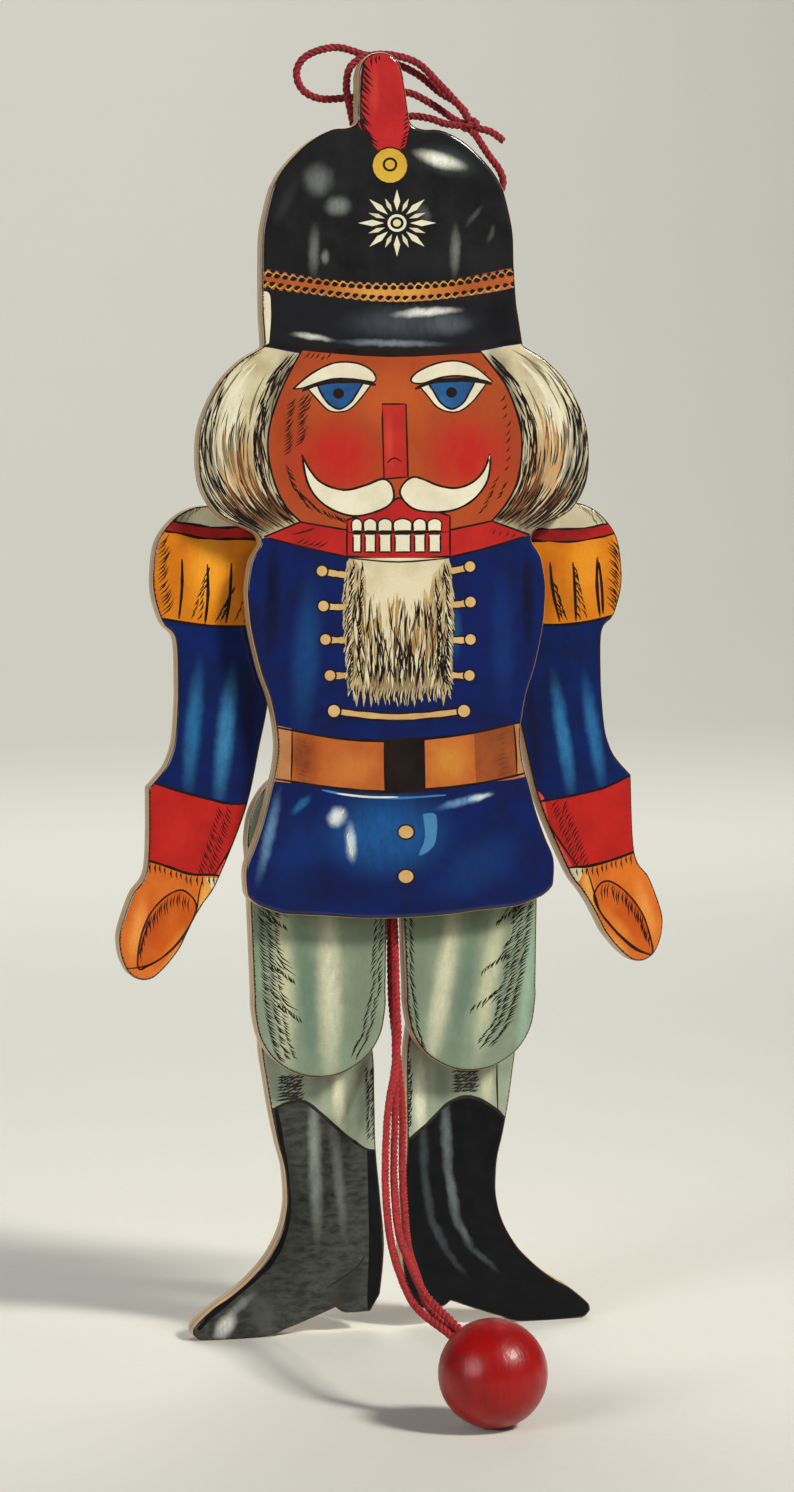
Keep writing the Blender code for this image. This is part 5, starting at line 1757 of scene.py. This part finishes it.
EYE_CORD_ROUTE = [
    (0.0159, 0.0012, 0.0333), (0.0110, 0.0016, 0.0387), (0.0069, 0.0016, 0.0424),
    (0.0028, 0.0016, 0.0437), (-0.0010, 0.0016, 0.0440), (-0.0045, 0.0016, 0.0432),
    (-0.0070, 0.0016, 0.0412), (-0.0077, 0.0016, 0.0380), (-0.0074, 0.0016, 0.0350),
    (-0.0060, 0.0016, 0.0280), (-0.0030, 0.0016, 0.0130), (-0.0012, 0.0016, 0.0040),
    (-0.0006, 0.0016, -0.0030), (0.0010, 0.0016, -0.0085), (0.0045, 0.0016, -0.0100),
    (0.0082, 0.0016, -0.0070), (0.0130, 0.0016, 0.0030), (0.0200, 0.0016, 0.0120),
    (0.0240, 0.0016, 0.0175), (0.0239, 0.0016, 0.0208), (0.0212, 0.0016, 0.0245),
]
LOOP_ROUTE = [
    (0.0150, 0.0049, 0.0318), (0.0093, 0.0038, 0.0351), (0.0048, 0.0036, 0.0368),
    (-0.0020, 0.0036, 0.0362), (-0.0081, 0.0036, 0.0354), (-0.0128, 0.0036, 0.0353),
    (-0.0163, 0.0036, 0.0370), (-0.0174, 0.0036, 0.0406), (-0.0152, 0.0036, 0.0438),
    (-0.0094, 0.0036, 0.0455), (-0.0039, 0.0036, 0.0442), (0.0000, 0.0036, 0.0430),
    (0.0043, 0.0036, 0.0419), (0.0080, 0.0036, 0.0400), (0.0118, 0.0038, 0.0370),
    (0.0152, 0.0046, 0.0352), (0.0176, 0.0052, 0.0332),
]
SHORT_TAIL_ROUTE = [(0.0222, 0.0026, 0.0290), (0.0246, 0.0020, 0.0272)]
LONG_TAIL_ROUTE = [
    (0.0125, 0.0017, 0.0304), (0.0093, 0.0016, 0.0314), (0.0052, 0.0016, 0.0318),
    (0.0010, 0.0016, 0.0305), (-0.0015, 0.0016, 0.0272),
]
BORE_LEAN = Vector((-0.45, 0.70, 0.55)).normalized()  # out of the ball's bore
BORE_DEPTH = 0.0130
STRAND_RING = 0.0011  # from the bore's axis to a strand's
FIT_GAP = 0.0003
LOOP_RADIUS = 0.00175  # a link cord's loop round a tack
LOOP_TURN = 240.0  # degrees
STRAND_TURN = 200.0  # where the first strand enters the ball, in degrees round its bore
BORE_LIP = 0.0005  # width of the worn lip round the bore


def node_centre(node):
    low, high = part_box(node)
    return 0.5 * (low + high)


def off_knot(knot, point):
    """Where a cord leaves a knot on its way to a point, a little inside the knot's turns."""
    away = Vector(point) - knot
    return knot + away.normalized() * KNOT_EXIT


def add_cord(node, points, paint_name, body=None):
    """A twisted cord in place of its CAD node. Without a body, it is attached to none."""
    verts, faces = twisted(points, CORD, node)
    obj = add_mesh(node + "_yarn", verts, faces, [paint_name])
    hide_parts(node)
    if body:
        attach(obj, body)
    return obj


def add_knot(node, paint_name, body, lean):
    """An overhand knot drawn tight: a cord that goes three times over and under itself."""
    centre = node_centre(node)
    turn = Matrix.Rotation(radians(lean), 3, "Y") @ Matrix.Rotation(radians(25.0), 3, "X")
    size = (KNOT - 0.5 * CORD) / 3.0
    points = []
    for t in np.linspace(0.0, 2.0 * pi, 90):
        spot = Vector((sin(t) + 2.0 * sin(2 * t), 2.1 * -sin(3 * t), cos(t) - 2.0 * cos(2 * t)))
        points.append(centre + turn @ (spot * size))
    verts, faces = twisted(points, 0.92 * CORD, node, 0.8 * LAY_PITCH)
    obj = add_mesh(node + "_tied", verts, faces, [paint_name])
    put(obj, node, body)
    return obj


def add_pull_cords():
    """Three strands from the leg tie, forward between the thighs and down to the ball."""
    tie = node_centre("leg_tie_knot")
    low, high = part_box("pull_ball")
    centre = 0.5 * (low + high)
    radius = 0.5 * (high.x - low.x)
    side = BORE_LEAN.cross(Vector((0.0, 0.0, 1.0))).normalized()
    rise = side.cross(BORE_LEAN)
    floor = centre - BORE_LEAN * (BORE_DEPTH - radius)
    ball = add_ball(centre, radius)
    for i, (word, places) in enumerate(PULL_ROUTES.items()):
        a = radians(STRAND_TURN - 120.0 * i)
        offset = STRAND_RING * (cos(a) * side + sin(a) * rise)
        mouth_spot = centre + 1.1 * radius * BORE_LEAN + offset
        end = floor + 2.0 * FIT_GAP * BORE_LEAN + offset
        inside = [mouth_spot, 0.5 * (mouth_spot + end), end]
        points = route([off_knot(tie, places[0]), *places, *inside], 0.001)
        obj = add_cord(f"pull_cord_{word}", points, "red_pull_cord")
        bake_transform(obj)


def add_ball(centre, radius):
    """A turned ball, dipped in paint, with a bore that the strands are glued into."""
    bore = STRAND_RING + 0.5 * CORD + FIT_GAP
    profile = [(0.0, radius - BORE_DEPTH), (bore, radius - BORE_DEPTH)]
    mouth_place = (radius**2 - (bore + BORE_LIP) ** 2) ** 0.5
    profile += [(bore, mouth_place - 0.0006), (bore + 0.00015, mouth_place - 0.0002)]
    start = np.arcsin((bore + BORE_LIP) / radius)
    for a in np.linspace(start, pi, 46):
        profile.append((radius * sin(a), radius * cos(a)))
    profile[-1] = (0.0, -radius)
    ball = lathe("pull_ball_turned", "red_painted_ball", profile[::-1], centre, BORE_LEAN, 72)
    put(ball, "pull_ball", "pull_ball")
    return ball


def link_route(tie, stud, side):
    """From the tie knot to a tack, ending in a loop most of the way round its neck."""
    away = stud - tie
    reach = hypot(away.x, away.z)
    ahead = Vector((away.x / reach, 0.0, away.z / reach))
    across = Vector((-side * ahead.z, 0.0, side * ahead.x))
    start = tie + ahead * KNOT_EXIT
    half = 0.5 * (start + stud) + 0.5 * LOOP_RADIUS * across
    half.y = stud.y
    points = [start, half]
    for i in range(9):
        a = radians(90.0 - LOOP_TURN * i / 8.0)
        points.append(stud + LOOP_RADIUS * (cos(a) * ahead + sin(a) * across))
    return points


def add_links():
    """The cords behind the plates that turn a pull into a swing of arms and thighs."""
    cord_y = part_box("arm_link_left")[0].y + 0.5 * CORD
    for limb, plate in (("arm", "arm"), ("leg", "thigh")):
        tie = node_centre(f"{limb}_tie_knot")
        add_knot(f"{limb}_tie_knot", "red_pull_cord", "pull_line", 20.0)
        for word, side in SIDES:
            x, z = middle(f"{word}_{plate}_stud")
            points = route(link_route(tie, Vector((x, cord_y, z)), side), 0.0005)
            add_cord(f"{limb}_link_{word}", points, "red_pull_cord", "pull_line")
    for word, _ in SIDES:
        low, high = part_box(f"centre_cord_{word}")
        x = 0.5 * (low.x + high.x)
        y = 0.5 * (low.y + high.y)
        points = [(x, y, high.z + 0.5 * MM), (x, y, 0.5 * (low.z + high.z)), (x, y, low.z - 0.5 * MM)]
        add_cord(f"centre_cord_{word}", route(points, 0.001), "red_pull_cord", "pull_line")


def add_hanging_cord():
    yarn = "dark_red_hanging_cord"
    knot = node_centre("hanging_knot")
    tied = [add_knot("hanging_knot", yarn, "figure", -35.0)]
    for node, places in (("hanging_short_tail", SHORT_TAIL_ROUTE), ("hanging_long_tail", LONG_TAIL_ROUTE)):
        tied.append(add_cord(node, route([off_knot(knot, places[0]), *places], 0.0005), yarn, "figure"))
    for node, places, pieces in (
        ("hanging_eye_cord", EYE_CORD_ROUTE, tied),
        ("hanging_loop", LOOP_ROUTE, []),
    ):
        points = route([off_knot(knot, places[0]), *places, off_knot(knot, places[-1])], 0.001)
        obj = add_cord(node, points, yarn, "figure")


def add_small_parts():
    for word, _ in SIDES:
        for joint, body in (("shoulder", "figure"), ("hip", "figure"), ("knee", f"{word}_thigh")):
            add_peg(f"{word}_{joint}_peg", body)
            add_washer(f"{word}_{joint}_washer", body)
        add_stud(f"{word}_arm_stud", f"{word}_arm")
        add_stud(f"{word}_thigh_stud", f"{word}_thigh")
    add_staple()


# Studio


def add_floor():
    """A pale paper floor that sweeps up far behind the toy."""
    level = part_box("left_boot")[0].z
    near = -3.5
    far = 2.4
    bend = 0.9
    top = 3.2
    half = 4.0
    profile = [(near, 0.0), (far, 0.0)]
    profile += [(far + bend * sin(a), bend - bend * cos(a)) for a in np.linspace(0.1, 0.5 * pi, 14)]
    profile.append((far + bend, top))
    verts = []
    faces = []
    for x in (-half, half):
        verts += [(x, y, level + z) for y, z in profile]
    count = len(profile)
    for i in range(count - 1):
        faces.append([i, count + i, count + i + 1, i + 1])
    floor = add_mesh("studio_floor", verts, faces, ["studio_paper"])


def add_light(name, place, aim, size, power, colour, spread=180.0):
    data = bpy.data.lights.new(name, "AREA")
    data.shape = "DISK"
    data.size = size
    data.energy = power
    data.color = colour
    data.spread = radians(spread)
    lamp = bpy.data.objects.new(name, data)
    bpy.context.scene.collection.objects.link(lamp)
    lamp.location = place
    lamp.rotation_euler = (Vector(aim) - Vector(place)).to_track_quat("-Z", "Y").to_euler()


def add_studio():
    add_floor()
    aim = (0.0, 0.0, -0.09)
    add_light("key", (0.75, -0.85, 0.75), aim, 0.28, 1.8, (1.0, 0.97, 0.92), 50.0)
    add_light("fill", (-1.10, -0.75, 0.35), aim, 0.8, 1.05, (0.95, 0.97, 1.0), 50.0)
    add_light("back", (0.2, 1.1, 0.9), aim, 0.8, 6.0, (1.0, 1.0, 1.0))
    add_light("backdrop", (0.3, 1.3, 1.9), (0.3, 3.3, 0.3), 1.5, 52.0, (1.0, 0.99, 0.97))
    world = bpy.data.worlds.new("studio")
    world.use_nodes = True
    sky = world.node_tree.nodes["Background"]
    sky.inputs["Color"].default_value = (0.92, 0.94, 1.0, 1.0)
    sky.inputs["Strength"].default_value = 0.09
    bpy.context.scene.world = world
    bpy.context.scene.view_settings.view_transform = "Standard"


make_finishes()
add_camera()
add_pull_cords()
add_links()
add_hanging_cord()
add_plates()
add_small_parts()
add_studio()
